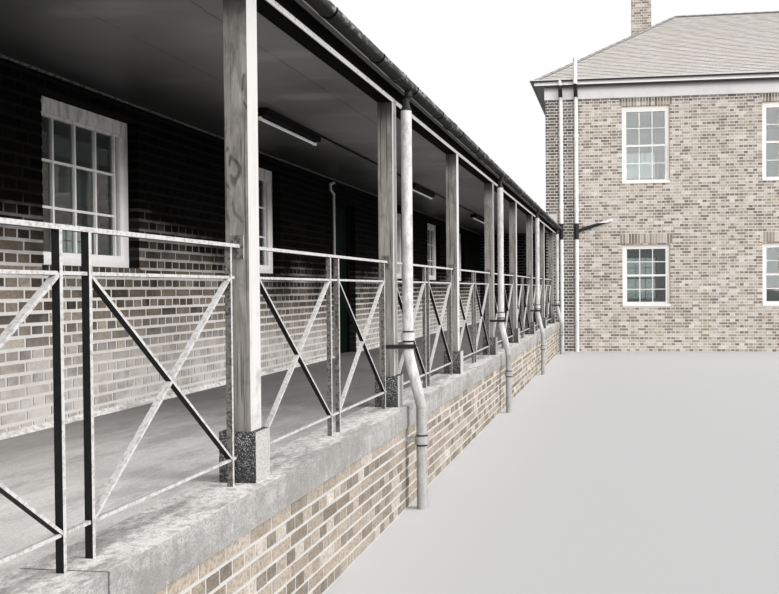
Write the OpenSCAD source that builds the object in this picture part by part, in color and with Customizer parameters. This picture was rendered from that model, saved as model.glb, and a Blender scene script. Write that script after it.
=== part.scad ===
// School building: a single-storey classroom wing behind a raised open verandah,
// joined at its far end to a two-storey block with a hipped roof.
// X runs along the wing to the two-storey block, Y from the verandah to the rear, Z up from the ground.

/* [Verandah] */
// Number of bays between the verandah posts
bays = 8; // [4:1:8]
// Distance between post centres
bay_w = 2440; // [2200:10:2700]
// Clear depth of the verandah, from the plinth face to the corridor wall
verandah_d = 2070; // [1900:10:2300]
// Height of the verandah floor above the ground
floor_h = 760; // [600:10:900]
// Side of a timber post
post_w = 110; // [90:1:140]
// Height from the floor to the underside of the eaves beam
beam_under = 2245; // [2180:5:2400]
// Height of the handrail above the floor
rail_h = 1078; // [950:2:1200]

/* [Wing] */
// Depth of the wing over the walls, with the verandah
wing_d = 8000; // [7000:100:9000]
// Distance between the centres of the openings in the corridor wall
opening_pitch = 2710; // [2500:10:2900]
// Pitch of the wing roof
wing_pitch = 30; // [25:1:33]

/* [Two-storey block] */
// Length of the block, across the wing
block_w = 12000; // [11000:100:13000]
// Depth of the block, along the wing
block_d = 7000; // [6600:100:7600]
// Height of the eaves soffit above the ground
soffit_h = 6760; // [6600:10:6900]
// Pitch of the block roof
block_pitch = 35; // [33:0.5:40]
// Height of the chimney above the ground, without its pots
chimney_h = 10900; // [10300:100:11500]

/* [Openings] */
// Width of a corridor window
window_w = 1090; // [900:10:1300]
// Height of a corridor window
window_h = 1110; // [900:10:1150]
// Width of the doorway
door_w = 890; // [850:10:1000]
// Height of the doorway
door_h = 2030; // [1950:10:2100]

/* [Hidden] */
$fn = 32;
wall_t = 328;
skin = 25;

// Verandah
post_inset = 126;
first_post = 100;
end_gap = 1000;
wing_len = first_post + bays * bay_w + end_gap;
plinth_h = 600;
plinth_t = 225;
coping_out = 16;
coping_in = 284;
slab_t = 150;
base_w = 155;
base_d = 175;
base_h = 230;
beam_z = floor_h + beam_under;
ceiling_z = beam_z + 35;
ceiling_t = 15;
plate_z = beam_z + 110;
post_face = post_inset - post_w / 2;
post_back = post_inset + post_w / 2;
post_top = floor_h + base_h;

// Eaves, gutters and pipes
wing_over = 80;
fascia_y = 20;
board_t = 25;
board_low = ceiling_z + 96;
wing_eaves = ceiling_z + 155;
shell_t = 90;
gutter_r = 53;
gutter_t = 5;
gutter_off = gutter_r + 7;
gutter_y = fascia_y - gutter_off;
wing_rim = ceiling_z + 100;
pipe_r = 40;
collar_r = 50;
collar_h = 60;
open_joint = 1;
wall_top = wing_eaves - shell_t + (wing_over - board_t) * tan(wing_pitch) - open_joint;

// Corridor wall and its openings
wall_y = verandah_d;
wall_in = wall_y + wall_t;
window_z = floor_h + 1040;
door_x = first_post + bays * bay_w / 2 - 60;
door_lo = door_x - door_w / 2;
door_hi = door_x + door_w / 2;
door_top = floor_h + door_h;
recess = 85;
frame_t = 75;
side_w = 60;
head_w = 100;
glass_t = 6;
jamb_w = 50;
leaf_gap = 5;
leaf_t = 44;
leaf_in = wall_y + recess + frame_t;
knuckle_r = 7;
hinge_x = door_lo + jamb_w + leaf_gap / 2;
hinge_y = leaf_in + knuckle_r + open_joint;
hinge_heights = [floor_h + 250, floor_h + 1650];

// Two-storey block
block_x = wing_len;
block_end = block_x + block_d;
block_y = 330;
block_low = block_y - block_w;
block_over = 260;
upper_floor = 3660;
frieze_z = soffit_h - 320;
soffit_t = 40;
block_eaves = soffit_h + 130;
block_rim = soffit_h + 120;
block_mid_x = block_x + block_d / 2;
block_win_w = 1200;
low_win_z = 1150;
low_win_h = 1600;
up_win_z = 4260;
up_win_h = 1975;
block_win_pitch = 3460;
chimney_y = block_y - 2520;
chimney_x_w = 680;
chimney_y_w = 560;
link_door_w = 1200;
link_door_h = 2000;

// Middle of the plan, which is the origin
mid_x = (block_end + block_over - wing_over) / 2;
mid_y = (wing_d + wing_over + block_low - block_over) / 2;

// Moves the plan so that its middle is at the origin
module site() translate([-mid_x, -mid_y, 0]) children();

// Box between two corners
module slab(x0, x1, y0, y1, z0, z1) translate([x0, y0, z0]) cube([x1 - x0, y1 - y0, z1 - z0]);

// Round bar from point p to point q
module rod(p, q, r) {
    d = q - p;
    translate(p)
        rotate([0, acos(d.z / norm(d)), atan2(d.y, d.x)])
            cylinder(h = norm(d), r = r);
}

// Round pipe through a list of points, with a slightly fuller ball at each bend
module pipe_run(points, r) {
    for (i = [0:len(points) - 2]) rod(points[i], points[i + 1], r);
    for (i = [1:len(points) - 2]) translate(points[i]) sphere(r = r + 3);
}

// Places of the posts along the wing
function post_x(k) = first_post + k * bay_w;

// Places where windows sit: [x, y, turn about Z] of the middle of the opening on the wall's outer face
corridor_spots = [for (n = [-3:3]) if (n != 0) [door_x + n * opening_pitch, wall_y, 0]];
rear_spots = [for (n = [-3:6]) [door_x + n * opening_pitch, wing_d, 180]];
near_spots = [for (side = [-1, 1]) [0, (wall_y + wing_d) / 2 + side * opening_pitch / 2, -90]];
far_spots = [for (side = [-1, 1]) [block_end, (wall_y + wing_d) / 2 + side * opening_pitch / 2, 90]];
wing_spots = concat(corridor_spots, rear_spots, near_spots, far_spots);
block_mid_y = block_y - block_w / 2;
block_front_spots = [for (n = [-1:1]) [block_x, block_mid_y + n * block_win_pitch, -90]];
block_back_spots = [for (n = [-1:1]) [block_end, block_mid_y + n * block_win_pitch, 90]];
block_right_spots = [for (side = [-1, 1]) [block_mid_x + side * block_win_pitch / 2, block_low, 0]];
block_left_spots = [for (side = [-1, 1]) [block_mid_x + side * block_win_pitch / 2, block_y, 180]];

// Puts its children on a wall at each spot, with X across the opening and Y into the wall
module at_spots(spots, z) for (s = spots) translate([s[0], s[1], z]) rotate([0, 0, s[2]]) children();

// Holes through a wall for windows of one size
module holes(spots, z, w, h) at_spots(spots, z) slab(-w / 2, w / 2, -skin, wall_t + skin, 0, h);

// Timber window frame, recessed in the wall, with a sill where that stands proud of the wall's face
module window_frame(w, h, proud) {
    difference() {
        slab(-w / 2, w / 2, recess, recess + frame_t, 0, h);
        slab(-w / 2 + side_w, w / 2 - side_w, 0, wall_t, side_w, h - head_w);
    }
    if (proud > 0) slab(-w / 2, w / 2, -proud, recess, 0, side_w);
}

// Sheet of glass in a window frame
module pane(w, h) {
    y = recess + frame_t / 2;
    slab(-w / 2 + side_w, w / 2 - side_w, y, y + glass_t, side_w, h - head_w);
}

// Hipped roof shell over a rectangle, sloping up from eaves height e at the same pitch on all sides
module hip_roof(x0, x1, y0, y1, e, pitch, t) {
    run = (y1 - y0) / 2;
    rise = run * tan(pitch);
    difference() {
        hip_solid(x0, x1, y0, y1, e, run, rise, t);
        translate([0, 0, -t]) hip_solid(x0, x1, y0, y1, e, run, rise, t);
    }
}

// Solid under a hipped roof: two gabled prisms crossed, with a plumb edge of height t at the eaves
module hip_solid(x0, x1, y0, y1, e, run, rise, t) {
    intersection() {
        translate([x0, 0, 0]) rotate([90, 0, 90]) linear_extrude(x1 - x0)
            polygon([[y0, e - t], [y1, e - t], [y1, e], [y0 + run, e + rise], [y0, e]]);
        translate([0, y1, 0]) rotate([90, 0, 0]) linear_extrude(y1 - y0)
            polygon([[x0, e - t], [x1, e - t], [x1, e], [x1 - run, e + rise], [x0 + run, e + rise], [x0, e]]);
    }
}

// Four boards round the inside of a rectangle's edge, butted at the corners with an open joint
module board_ring(x0, x1, y0, y1, z0, z1, t) {
    slab(x0, x1, y0, y0 + t, z0, z1);
    slab(x0, x1, y1 - t, y1, z0, z1);
    slab(x0, x0 + t, y0 + t + open_joint, y1 - t - open_joint, z0, z1);
    slab(x1 - t, x1, y0 + t + open_joint, y1 - t - open_joint, z0, z1);
}

// Half-round gutter along X, of length l between the corners, with mitred ends
module gutter_side(l) {
    r = gutter_r;
    intersection() {
        translate([-2 * r, 0, 0]) rotate([90, 0, 90]) linear_extrude(l + 4 * r) difference() {
            circle(r = r);
            circle(r = r - gutter_t);
            translate([-2 * r, 0]) square([4 * r, 2 * r]);
        }
        translate([0, 0, -2 * r]) linear_extrude(4 * r)
            polygon([[-r, -r], [l + r, -r], [l - r, r], [r, r]]);
    }
}

// Takes away a clearance round a gutter that runs along X through the origin
module under_gutter() {
    difference() {
        children();
        translate([-4 * gutter_r, 0, 0]) rotate([0, 90, 0])
            cylinder(h = 8 * gutter_r, r = gutter_r + open_joint);
    }
}

// Half-round gutter all round a rectangle of fascia boards, with an open joint at each mitre
module gutter_loop(x0, x1, y0, y1, z) {
    g = gutter_off;
    j = open_joint;
    lx = x1 - x0 + 2 * g;
    ly = y1 - y0 + 2 * g;
    translate([x0 - g, y0 - g, z]) gutter_side(lx);
    translate([x1 + g, y1 + g, z]) rotate([0, 0, 180]) gutter_side(lx);
    translate([x1 + g, y0 - g + j, z]) rotate([0, 0, 90]) gutter_side(ly - 2 * j);
    translate([x0 - g, y1 + g - j, z]) rotate([0, 0, -90]) gutter_side(ly - 2 * j);
}

// Brick wall that holds up the verandah
module plinth_wall() site() color("rosybrown") {
    slab(0, wing_len, 0, plinth_t, 0, plinth_h);
    slab(0, plinth_t, plinth_t, wall_y, 0, plinth_h);
}

// Concrete coping on the verandah wall
module coping() site() color("gainsboro") {
    slab(-coping_out, wing_len, -coping_out, coping_in, plinth_h, floor_h);
    slab(-coping_out, coping_in, coping_in, wall_y, plinth_h, floor_h);
}

module verandah_floor() site() color("silver")
    slab(coping_in, wing_len, coping_in, wall_y, floor_h - slab_t, floor_h);

module post_bases() site() color("darkgray")
    for (k = [0:bays])
        translate([post_x(k), post_inset, floor_h + base_h / 2])
            cube([base_w, base_d, base_h], center = true);

module posts() site() color("tan")
    for (k = [0:bays])
        slab(post_x(k) - post_w / 2, post_x(k) + post_w / 2, post_face, post_back, post_top, beam_z);

// Beam on the posts, with a return across the near end
module eaves_beam() site() color("tan") {
    slab(first_post - post_w / 2, wing_len, post_face, post_back, beam_z, plate_z);
    slab(first_post - post_w / 2, first_post + post_w / 2, post_back, wall_y, beam_z, plate_z);
}

// Boards under the verandah roof and the rooms' ceiling
module ceiling() site() color("whitesmoke") {
    z0 = ceiling_z;
    z1 = ceiling_z + ceiling_t;
    slab(first_post + post_w / 2, wing_len, post_back, wall_y, z0, z1);
    slab(wall_t, block_end - wall_t, wall_in, wing_d - wall_t, z0, z1);
    slab(wing_len + wall_t, block_end - wall_t, block_y, wall_in - open_joint, z0, z1);
}

// Leaves out what the two-storey block stands in the way of, and a gap before its front wall
module beside_block(gap) {
    difference() {
        children();
        slab(block_x - gap, block_end + block_d, -block_d, block_y, 0, soffit_h);
    }
}

module wing_fascia() site() color("ivory") beside_block(0)
    board_ring(-wing_over, block_end + wing_over, fascia_y, wing_d + wing_over,
        board_low, wing_eaves, board_t);

// Gutter round the wing, with a stop end where the block's rain pipe passes
module wing_gutter() site() color("gray") {
    stop_gap = 140;
    beside_block(stop_gap)
        gutter_loop(-wing_over, block_end + wing_over, fascia_y, wing_d + wing_over, wing_rim);
    translate([block_x - stop_gap - gutter_t, gutter_y, wing_rim]) rotate([90, 0, 90])
        linear_extrude(gutter_t) difference() {
            circle(r = gutter_r);
            translate([-2 * gutter_r, 0]) square([4 * gutter_r, 2 * gutter_r]);
        }
}

// Rainwater pipe down one post: outlet, neck, shoulder, shaft, offset and foot, with collars and clamps
module downpipe() {
    y_mid = -22;
    y_low = -120;
    z_top = beam_z - 50;
    z_neck = beam_z + 30;
    z_outlet = z_neck + 15;
    shoulder_h = 40;
    outlet_r = 28;
    neck_r = 25;
    joint_r = 17;
    z_collar = floor_h + 489;
    z_clamp = floor_h + 431;
    z_low_collar = floor_h - 280;
    clamp_h = 30;
    clamp_t = 6;
    translate([0, gutter_y, wing_rim]) under_gutter()
        translate([0, 0, z_outlet - wing_rim]) cylinder(h = wing_rim - z_outlet - gutter_r / 2, r = outlet_r);
    rod([0, gutter_y, z_outlet + 5], [0, y_mid, z_neck - 5], joint_r);
    translate([0, y_mid, z_top]) cylinder(h = z_neck - z_top, r = neck_r);
    translate([0, y_mid, z_top]) cylinder(h = shoulder_h, r1 = pipe_r, r2 = neck_r);
    pipe_run([[0, y_mid, z_top], [0, y_mid, floor_h + 395], [0, y_low, floor_h], [0, y_low, 0]], pipe_r);
    translate([0, y_mid, z_collar]) cylinder(h = collar_h, r = collar_r);
    translate([0, y_mid, z_clamp]) cylinder(h = clamp_h, r = collar_r - 4);
    slab(-post_w / 2 - clamp_t, -post_w / 2, y_mid - 78, post_back - 38, z_clamp, z_clamp + clamp_h);
    slab(-post_w / 2 - clamp_t, 0, y_mid - clamp_t, y_mid + clamp_t, z_clamp, z_clamp + clamp_h);
    translate([0, y_low, z_low_collar]) cylinder(h = collar_h, r = collar_r);
    slab(-15, 15, y_low, 0, z_low_collar + 15, z_low_collar + 45);
}

module verandah_downpipes() site() color("lightgray")
    for (k = [0:2:bays]) translate([post_x(k), 0, 0]) downpipe();

// One bay of railing between two posts: only the top rail reaches them, with a plate at each end
module railing(l) {
    bar_w = 15;
    bar_d = 27;
    top_t = 16;
    thin = 12;
    thin_d = 16;
    low = 119;
    mid = rail_h - 150;
    end_in = 90;
    past_end = 42;
    pair = 145;
    plate = [6, 63, 104];
    m = l / 2;
    slab(0, l, -bar_d / 2, bar_d / 2, rail_h - top_t, rail_h);
    for (z = [low, mid])
        slab(end_in - past_end, l - end_in + past_end, -thin_d / 2, thin_d / 2, z - thin / 2, z + thin / 2);
    for (x = [end_in, m - pair / 2, m + pair / 2, l - end_in])
        slab(x - bar_w / 2, x + bar_w / 2, -bar_d / 2, bar_d / 2, 0, rail_h - 5);
    for (x = [[end_in, m - pair / 2], [m + pair / 2, l - end_in]]) {
        brace(x[0], low, x[1], mid);
        brace(x[0], mid, x[1], low);
    }
    for (x = [0, l - plate.x]) translate([x, -plate.y / 2, rail_h + 40 - plate.z]) cube(plate);
}

// Flat diagonal bar on edge, in the plane of the railing
module brace(x0, z0, x1, z1) {
    l = norm([x1 - x0, z1 - z0]);
    brace_d = 25;
    brace_w = 11;
    translate([x0, 0, z0]) rotate([0, -atan2(z1 - z0, x1 - x0), 0])
        slab(0, l, -brace_d / 2, brace_d / 2, -brace_w / 2, brace_w / 2);
}

module bay_railing(k) site() color("white")
    translate([post_x(k - 1) + post_w / 2, post_inset, floor_h]) railing(bay_w - post_w);

module end_railing() site() color("white")
    translate([first_post, post_back, floor_h]) rotate([0, 0, 90]) railing(wall_y - post_back);

module corridor_wall_near() site() color("rosybrown") difference() {
    slab(wall_t, door_lo, wall_y, wall_in, 0, plate_z);
    holes(corridor_spots, window_z, window_w, window_h);
}

module corridor_wall_far() site() color("rosybrown") difference() {
    slab(door_hi, wing_len, wall_y, wall_in, 0, plate_z);
    holes(corridor_spots, window_z, window_w, window_h);
}

module corridor_wall_over_door() site() color("rosybrown")
    slab(door_lo, door_hi, wall_y, wall_in, door_top, plate_z);

module door_step() site() color("gainsboro") slab(door_lo, door_hi, wall_y, wall_in, 0, floor_h);

module wing_rear_wall() site() color("rosybrown") difference() {
    slab(wall_t, block_end - wall_t, wing_d - wall_t, wing_d, 0, wall_top);
    holes(rear_spots, window_z, window_w, window_h);
}

// Walls across the wing: near end, far end and the end of the verandah
module wing_end_walls() site() color("rosybrown") {
    difference() {
        slab(0, wall_t, wall_y, wing_d, 0, wall_top);
        holes(near_spots, window_z, window_w, window_h);
    }
    difference() {
        slab(block_end - wall_t, block_end, block_y, wing_d, 0, wall_top);
        holes(far_spots, window_z, window_w, window_h);
    }
    slab(wing_len, wing_len + wall_t, block_y, wall_in, 0, plate_z);
}

module wing_floor() site() color("burlywood") {
    slab(wall_t, block_end - wall_t, wall_in, wing_d - wall_t, floor_h - slab_t, floor_h);
    slab(wing_len + wall_t, block_end - wall_t, block_y, wall_in, floor_h - slab_t, floor_h);
}

module wing_roof() site() color("dimgray") beside_block(0) {
    o = wing_over - board_t;
    hip_roof(-o, block_end + o, fascia_y + board_t, wing_d + o, wing_eaves, wing_pitch, shell_t);
}

module wing_windows() site() color("white")
    at_spots(wing_spots, window_z) window_frame(window_w, window_h, 0);

module wing_glass() site() color("lightblue") at_spots(wing_spots, window_z) pane(window_w, window_h);

module door_frame() site() color("white") translate([door_lo, wall_y + recess, floor_h]) difference() {
    cube([door_w, frame_t, door_h]);
    slab(jamb_w, door_w - jamb_w, -skin, frame_t + skin, -skin, door_h - jamb_w);
}

// Door leaf, hung on the side nearest the wing's end
module door() site() color("darkslategray") {
    x0 = door_lo + jamb_w + leaf_gap;
    x1 = door_hi - jamb_w - leaf_gap;
    slab(x0, x1, leaf_in - leaf_t, leaf_in, floor_h + leaf_gap, door_top - jamb_w - leaf_gap);
}

// Butt hinge in the open joint beside the leaf: side -1 is the half on the frame, side 1 the half on the leaf
module butt_hinge(side) {
    hinge_h = 100;
    flap_w = 38;
    flap_t = 3;
    knuckle_gap = 2;
    low = 32;
    high = hinge_h - low;
    knuckles = side < 0 ? [[low, high]] : [[0, low - knuckle_gap], [high + knuckle_gap, hinge_h]];
    y_flap = -knuckle_r - open_joint;
    root = side < 0 ? [-knuckle_r - 3, -1.5] : [1.5, knuckle_r + 3];
    flap = side < 0 ? [-flap_w, -knuckle_r - 2] : [knuckle_r + 2, flap_w];
    for (k = knuckles) {
        translate([0, 0, k[0]]) cylinder(h = k[1] - k[0], r = knuckle_r);
        slab(root[0], root[1], y_flap, y_flap + flap_t, k[0], k[1]);
    }
    slab(flap[0], flap[1], y_flap, y_flap + flap_t, 0, hinge_h);
}

module frame_hinges() site() color("dimgray")
    for (z = hinge_heights) translate([hinge_x, hinge_y, z]) butt_hinge(-1);

module door_hinges() site() color("dimgray")
    for (z = hinge_heights) translate([hinge_x, hinge_y, z]) butt_hinge(1);

// Lever handle on each face of the door
module door_handles() site() color("dimgray") {
    x = door_hi - jamb_w - leaf_gap - 60;
    z = floor_h + 1000;
    for (side = [[leaf_in - leaf_t, -1], [leaf_in, 1]])
        translate([x, side[0], z]) {
            rotate([-90 * side[1], 0, 0]) cylinder(h = 45, r = 10);
            rotate([-90 * side[1], 0, 0]) cylinder(h = 6, r = 24);
            translate([0, side[1] * 38, 0]) rotate([0, -90, 0]) cylinder(h = 110, r = 8);
        }
}

// Lamps on the verandah ceiling: battens, each with a tube below it, and the conduit that joins them
module ceiling_lights() site() color("white") {
    lamp_l = 1220;
    lamp_y = 1180;
    first_lamp = first_post + 2 * bay_w + 130;
    lamp_pitch = 2 * bay_w - 100;
    batten_w = 110;
    batten_h = 60;
    tube_r = 13;
    tube_z = ceiling_z - 80;
    holder_w = 30;
    conduit_r = 10;
    conduit_y = lamp_y - batten_w / 2 - conduit_r;
    conduit_z = ceiling_z - conduit_r;
    conduit_end = first_lamp + 2 * lamp_pitch + lamp_l;
    rod([first_lamp, conduit_y, conduit_z], [conduit_end, conduit_y, conduit_z], conduit_r);
    for (k = [0:2]) {
        x = first_lamp + k * lamp_pitch;
        slab(x, x + lamp_l, lamp_y - batten_w / 2, lamp_y + batten_w / 2, ceiling_z - batten_h, ceiling_z);
        rod([x + holder_w, lamp_y, tube_z], [x + lamp_l - holder_w, lamp_y, tube_z], tube_r);
        for (e = [x, x + lamp_l - holder_w])
            slab(e, e + holder_w, lamp_y - tube_r, lamp_y + tube_r, tube_z - tube_r, ceiling_z - batten_h);
    }
}

// Thin pipe down the corridor wall beside the door, set off in a crook near its top and turned into the wall
module wall_pipe() site() color("white") {
    r = 16;
    crook = 120;
    x = door_lo - 60;
    y = wall_y - 30;
    z_top = ceiling_z - 50;
    z_out = [ceiling_z - 80, ceiling_z - 150];
    z_low = ceiling_z - 200;
    pipe_run([[x, wall_y, z_top], [x, y, z_top], [x - crook, y, z_out[0]], [x - crook, y, z_out[1]],
        [x, y, z_low], [x, y, floor_h]], r);
}

// One wall of the two-storey block, pierced for its windows
module block_wall(x0, x1, y0, y1, spots, lower) {
    difference() {
        slab(x0, x1, y0, y1, 0, soffit_h);
        if (lower) holes(spots, low_win_z, block_win_w, low_win_h);
        holes(spots, up_win_z, block_win_w, up_win_h);
    }
}

module block_front_wall() site() color("indianred")
    block_wall(block_x, block_x + wall_t, block_low, block_y, block_front_spots, true);

module block_back_wall() site() color("indianred")
    block_wall(block_end - wall_t, block_end, block_low, block_y, block_back_spots, true);

module block_right_wall() site() color("indianred")
    block_wall(block_x + wall_t, block_end - wall_t, block_low, block_low + wall_t, block_right_spots, true);

// Wall between the block and the wing, with the doorway from one to the other
module block_left_wall() site() color("indianred") difference() {
    block_wall(block_x + wall_t, block_end - wall_t, block_y - wall_t, block_y, block_left_spots, false);
    slab(block_mid_x - link_door_w / 2, block_mid_x + link_door_w / 2, 0, block_y + skin,
        floor_h, floor_h + link_door_h);
}

module block_floors() site() color("burlywood")
    for (z = [floor_h, upper_floor])
        slab(block_x + wall_t, block_end - wall_t, block_low + wall_t, block_y - wall_t, z - slab_t, z);

module block_frieze() site() color("white")
    board_ring(block_x - board_t, block_end + board_t, block_low - board_t, block_y + board_t,
        frieze_z, soffit_h, board_t);

// Soffit and ceiling boards of the block with the fascia round them
module block_eaves_boards() site() color("white") {
    o = block_over - board_t;
    slab(block_x - o, block_end + o, block_low - o, block_y + o, soffit_h, soffit_h + soffit_t);
    board_ring(block_x - block_over, block_end + block_over, block_low - block_over, block_y + block_over,
        soffit_h, block_eaves, board_t);
}

module block_gutter() site() color("gainsboro")
    gutter_loop(block_x - block_over, block_end + block_over, block_low - block_over, block_y + block_over,
        block_rim);

module chimney_stack(z0, z1) {
    slab(block_mid_x - chimney_x_w / 2, block_mid_x + chimney_x_w / 2,
        chimney_y - chimney_y_w / 2, chimney_y + chimney_y_w / 2, z0, z1);
}

// Roof of the block, with its ridge along Y and a hole for the chimney
module block_roof() site() color("slategray") difference() {
    o = block_over - board_t;
    mirror([1, -1, 0])
        hip_roof(block_low - o, block_y + o, block_x - o, block_end + o, block_eaves, block_pitch, shell_t);
    chimney_stack(0, chimney_h);
}

module chimney() site() color("indianred") {
    cap = 40;
    cap_z = [chimney_h - 230, chimney_h - 80];
    pot_h = 350;
    chimney_stack(soffit_h + soffit_t, chimney_h);
    slab(block_mid_x - chimney_x_w / 2 - cap, block_mid_x + chimney_x_w / 2 + cap,
        chimney_y - chimney_y_w / 2 - cap, chimney_y + chimney_y_w / 2 + cap, cap_z[0], cap_z[1]);
    for (side = [-1, 1])
        translate([block_mid_x + side * chimney_x_w / 4, chimney_y, chimney_h]) difference() {
            cylinder(h = pot_h, r1 = 130, r2 = 105);
            translate([0, 0, 50]) cylinder(h = pot_h, r = 80);
        }
}

module collars(x, y, heights, r) for (z = heights) translate([x, y, z]) cylinder(h = 90, r = r);

// Rainwater pipe of the block, from its gutter down the front wall
module block_rain_pipe() site() color("white") {
    y = block_y - 400;
    x_top = block_x - block_over - gutter_off;
    x = block_x - 78;
    r = 50;
    collar_heights = [5505, 3655, 1800];
    translate([x_top, y, block_rim]) rotate([0, 0, 90]) under_gutter()
        translate([0, 0, soffit_h - 70 - block_rim]) cylinder(h = block_rim - soffit_h + 50, r = r);
    pipe_run([[x_top, y, soffit_h - 65], [x_top, y, soffit_h - 110], [x, y, soffit_h - 360], [x, y, 0]], r);
    collars(x, y, collar_heights, r + 12);
    for (z = collar_heights) slab(x, block_x, y - 20, y + 20, z + 30, z + 60);
}

// Soil and vent pipe: rises past the gutter, with one sloping branch
module soil_pipe() site() color("white") {
    y = block_y - 786;
    x_top = block_x - block_over - 2 * gutter_r - 70;
    x = block_x - 85;
    pipe_run([[x_top, y, 7380], [x_top, y, soffit_h], [x, y, soffit_h - 330], [x, y, 0]], 52);
    collar_heights = [5450, 3560, 1870];
    pipe_run([[x, y, 3070], [x, y - 870, 3340], [block_x, y - 870, 3340]], 40);
    collars(x, y, collar_heights, 66);
    translate([x, y, 2860]) cylinder(h = 410, r = 60);
    for (z = collar_heights) slab(x, block_x, y - 20, y + 20, z + 30, z + 60);
}

block_lower_spots = concat(block_front_spots, block_back_spots, block_right_spots);
block_upper_spots = concat(block_lower_spots, block_left_spots);

module block_windows() site() color("white") {
    at_spots(block_lower_spots, low_win_z) window_frame(block_win_w, low_win_h, 40);
    at_spots(block_upper_spots, up_win_z) window_frame(block_win_w, up_win_h, 40);
}

module block_glass() site() color("lightblue") {
    at_spots(block_lower_spots, low_win_z) pane(block_win_w, low_win_h);
    at_spots(block_upper_spots, up_win_z) pane(block_win_w, up_win_h);
}

plinth_wall();
coping();
verandah_floor();
post_bases();
posts();
eaves_beam();
ceiling();
wing_fascia();
wing_gutter();
verandah_downpipes();
bay_railing(1);  // railing_1
bay_railing(2);  // railing_2
bay_railing(3);  // railing_3
bay_railing(4);  // railing_4
bay_railing(5);  // railing_5
bay_railing(6);  // railing_6
bay_railing(7);  // railing_7
bay_railing(8);  // railing_8
end_railing();
corridor_wall_near();
corridor_wall_far();
corridor_wall_over_door();
door_step();
wing_rear_wall();
wing_end_walls();
wing_floor();
wing_roof();
wing_windows();
wing_glass();
door_frame();
frame_hinges();
door();
door_hinges();
door_handles();
ceiling_lights();
wall_pipe();
block_front_wall();
block_back_wall();
block_left_wall();
block_right_wall();
block_floors();
block_frieze();
block_eaves_boards();
block_gutter();
block_roof();
chimney();
block_rain_pipe();
soil_pipe();
block_windows();
block_glass();
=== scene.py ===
"""Looks of the school building: bricks, tiles, window bars, trims, materials, floor, light and camera.

Lengths are in metres. Plans are worked out from the corner of the verandah's plinth, where x and y are 0.
"""
import bpy
import math
import random
from mathutils import Matrix, Vector


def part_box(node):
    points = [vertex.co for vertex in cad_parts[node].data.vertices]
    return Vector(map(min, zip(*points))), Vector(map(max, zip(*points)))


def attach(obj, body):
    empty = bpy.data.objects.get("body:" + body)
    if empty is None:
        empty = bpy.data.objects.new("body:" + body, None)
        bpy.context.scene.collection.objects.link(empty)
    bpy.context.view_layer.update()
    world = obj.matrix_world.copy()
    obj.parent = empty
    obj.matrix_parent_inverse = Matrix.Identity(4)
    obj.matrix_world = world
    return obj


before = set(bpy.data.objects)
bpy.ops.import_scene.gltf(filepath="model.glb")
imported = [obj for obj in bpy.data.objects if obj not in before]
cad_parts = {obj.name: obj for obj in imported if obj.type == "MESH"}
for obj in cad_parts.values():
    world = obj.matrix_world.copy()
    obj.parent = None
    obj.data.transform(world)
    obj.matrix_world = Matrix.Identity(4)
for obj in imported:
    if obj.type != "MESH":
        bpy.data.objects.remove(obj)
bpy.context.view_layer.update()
rng = random.Random(11)

# Plan and heights, from the frame
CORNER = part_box("plinth_wall")[0]
BAYS = 8
POST_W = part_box("posts")[1].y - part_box("posts")[0].y
FIRST_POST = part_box("posts")[0].x + POST_W / 2 - CORNER.x
BAY_W = (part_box("posts")[1].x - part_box("posts")[0].x - POST_W) / BAYS
FLOOR_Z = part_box("verandah_floor")[1].z
PLINTH_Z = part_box("plinth_wall")[1].z
BEAM_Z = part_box("eaves_beam")[0].z
CEILING_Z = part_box("ceiling")[0].z
WALL_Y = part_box("corridor_wall_near")[0].y - CORNER.y
WALL_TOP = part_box("wing_rear_wall")[1].z
WING_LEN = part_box("block_front_wall")[0].x - CORNER.x
WING_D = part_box("wing_rear_wall")[1].y - CORNER.y
BLOCK_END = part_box("block_back_wall")[1].x - CORNER.x
BLOCK_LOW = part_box("block_front_wall")[0].y - CORNER.y
BLOCK_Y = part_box("block_front_wall")[1].y - CORNER.y
FRIEZE_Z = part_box("block_frieze")[0].z
SOFFIT_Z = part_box("block_frieze")[1].z
DOOR_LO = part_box("corridor_wall_over_door")[0].x - CORNER.x
DOOR_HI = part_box("corridor_wall_over_door")[1].x - CORNER.x
DOOR_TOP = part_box("corridor_wall_over_door")[0].z
DOOR_X = (DOOR_LO + DOOR_HI) / 2

# Windows, as in the frame. LOW_WIN and UP_WIN are the sill's height and the height of the block's windows
OPENING_PITCH = 2.71
WIN_W = 1.09
WIN_H = 1.11
WIN_Z = FLOOR_Z + 1.04
BLOCK_WIN_W = 1.2
BLOCK_WIN_PITCH = 3.46
LOW_WIN = (1.15, 1.6)
UP_WIN = (4.26, 1.975)
RECESS = 0.085
SIDE_W = 0.06
HEAD_W = 0.1
SILL_H = 0.075
ARCH_H = 0.22

# Window bars of the wing: their places across a window, from its middle, and up it, from its sill
BAR_W = 0.017
BAR_PLACES = (-0.29, -0.057, 0.176, 0.408)
CROSS_BARS = (0.39, 0.70)
BAR_FRONT = 0.105
GLASS_BACK = 0.135

# Heights of the pipes' black heads, clamps and joints
CLAMP_Z = FLOOR_Z + 0.431
CLAMP_H = 0.032
COLLAR_Z = FLOOR_Z + 0.489
LOW_COLLAR_Z = FLOOR_Z - 0.28
COLLAR_H = 0.06
COLLAR_BANDS = [band for z in (COLLAR_Z, LOW_COLLAR_Z)
                for band in ((z - 0.014, z), (z + COLLAR_H, z + COLLAR_H + 0.012))]
PIPE_BANDS = [(BEAM_Z - 0.06, BEAM_Z + 0.3), (CLAMP_Z - 0.002, CLAMP_Z + CLAMP_H)] + COLLAR_BANDS
# Bands of the block's pipes: a dark fitting, and painted shade on the swan necks under the eaves
BLOCK_PIPE_BANDS = [(2.86, 3.27), (SOFFIT_Z - 0.3, SOFFIT_Z - 0.03)]

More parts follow.
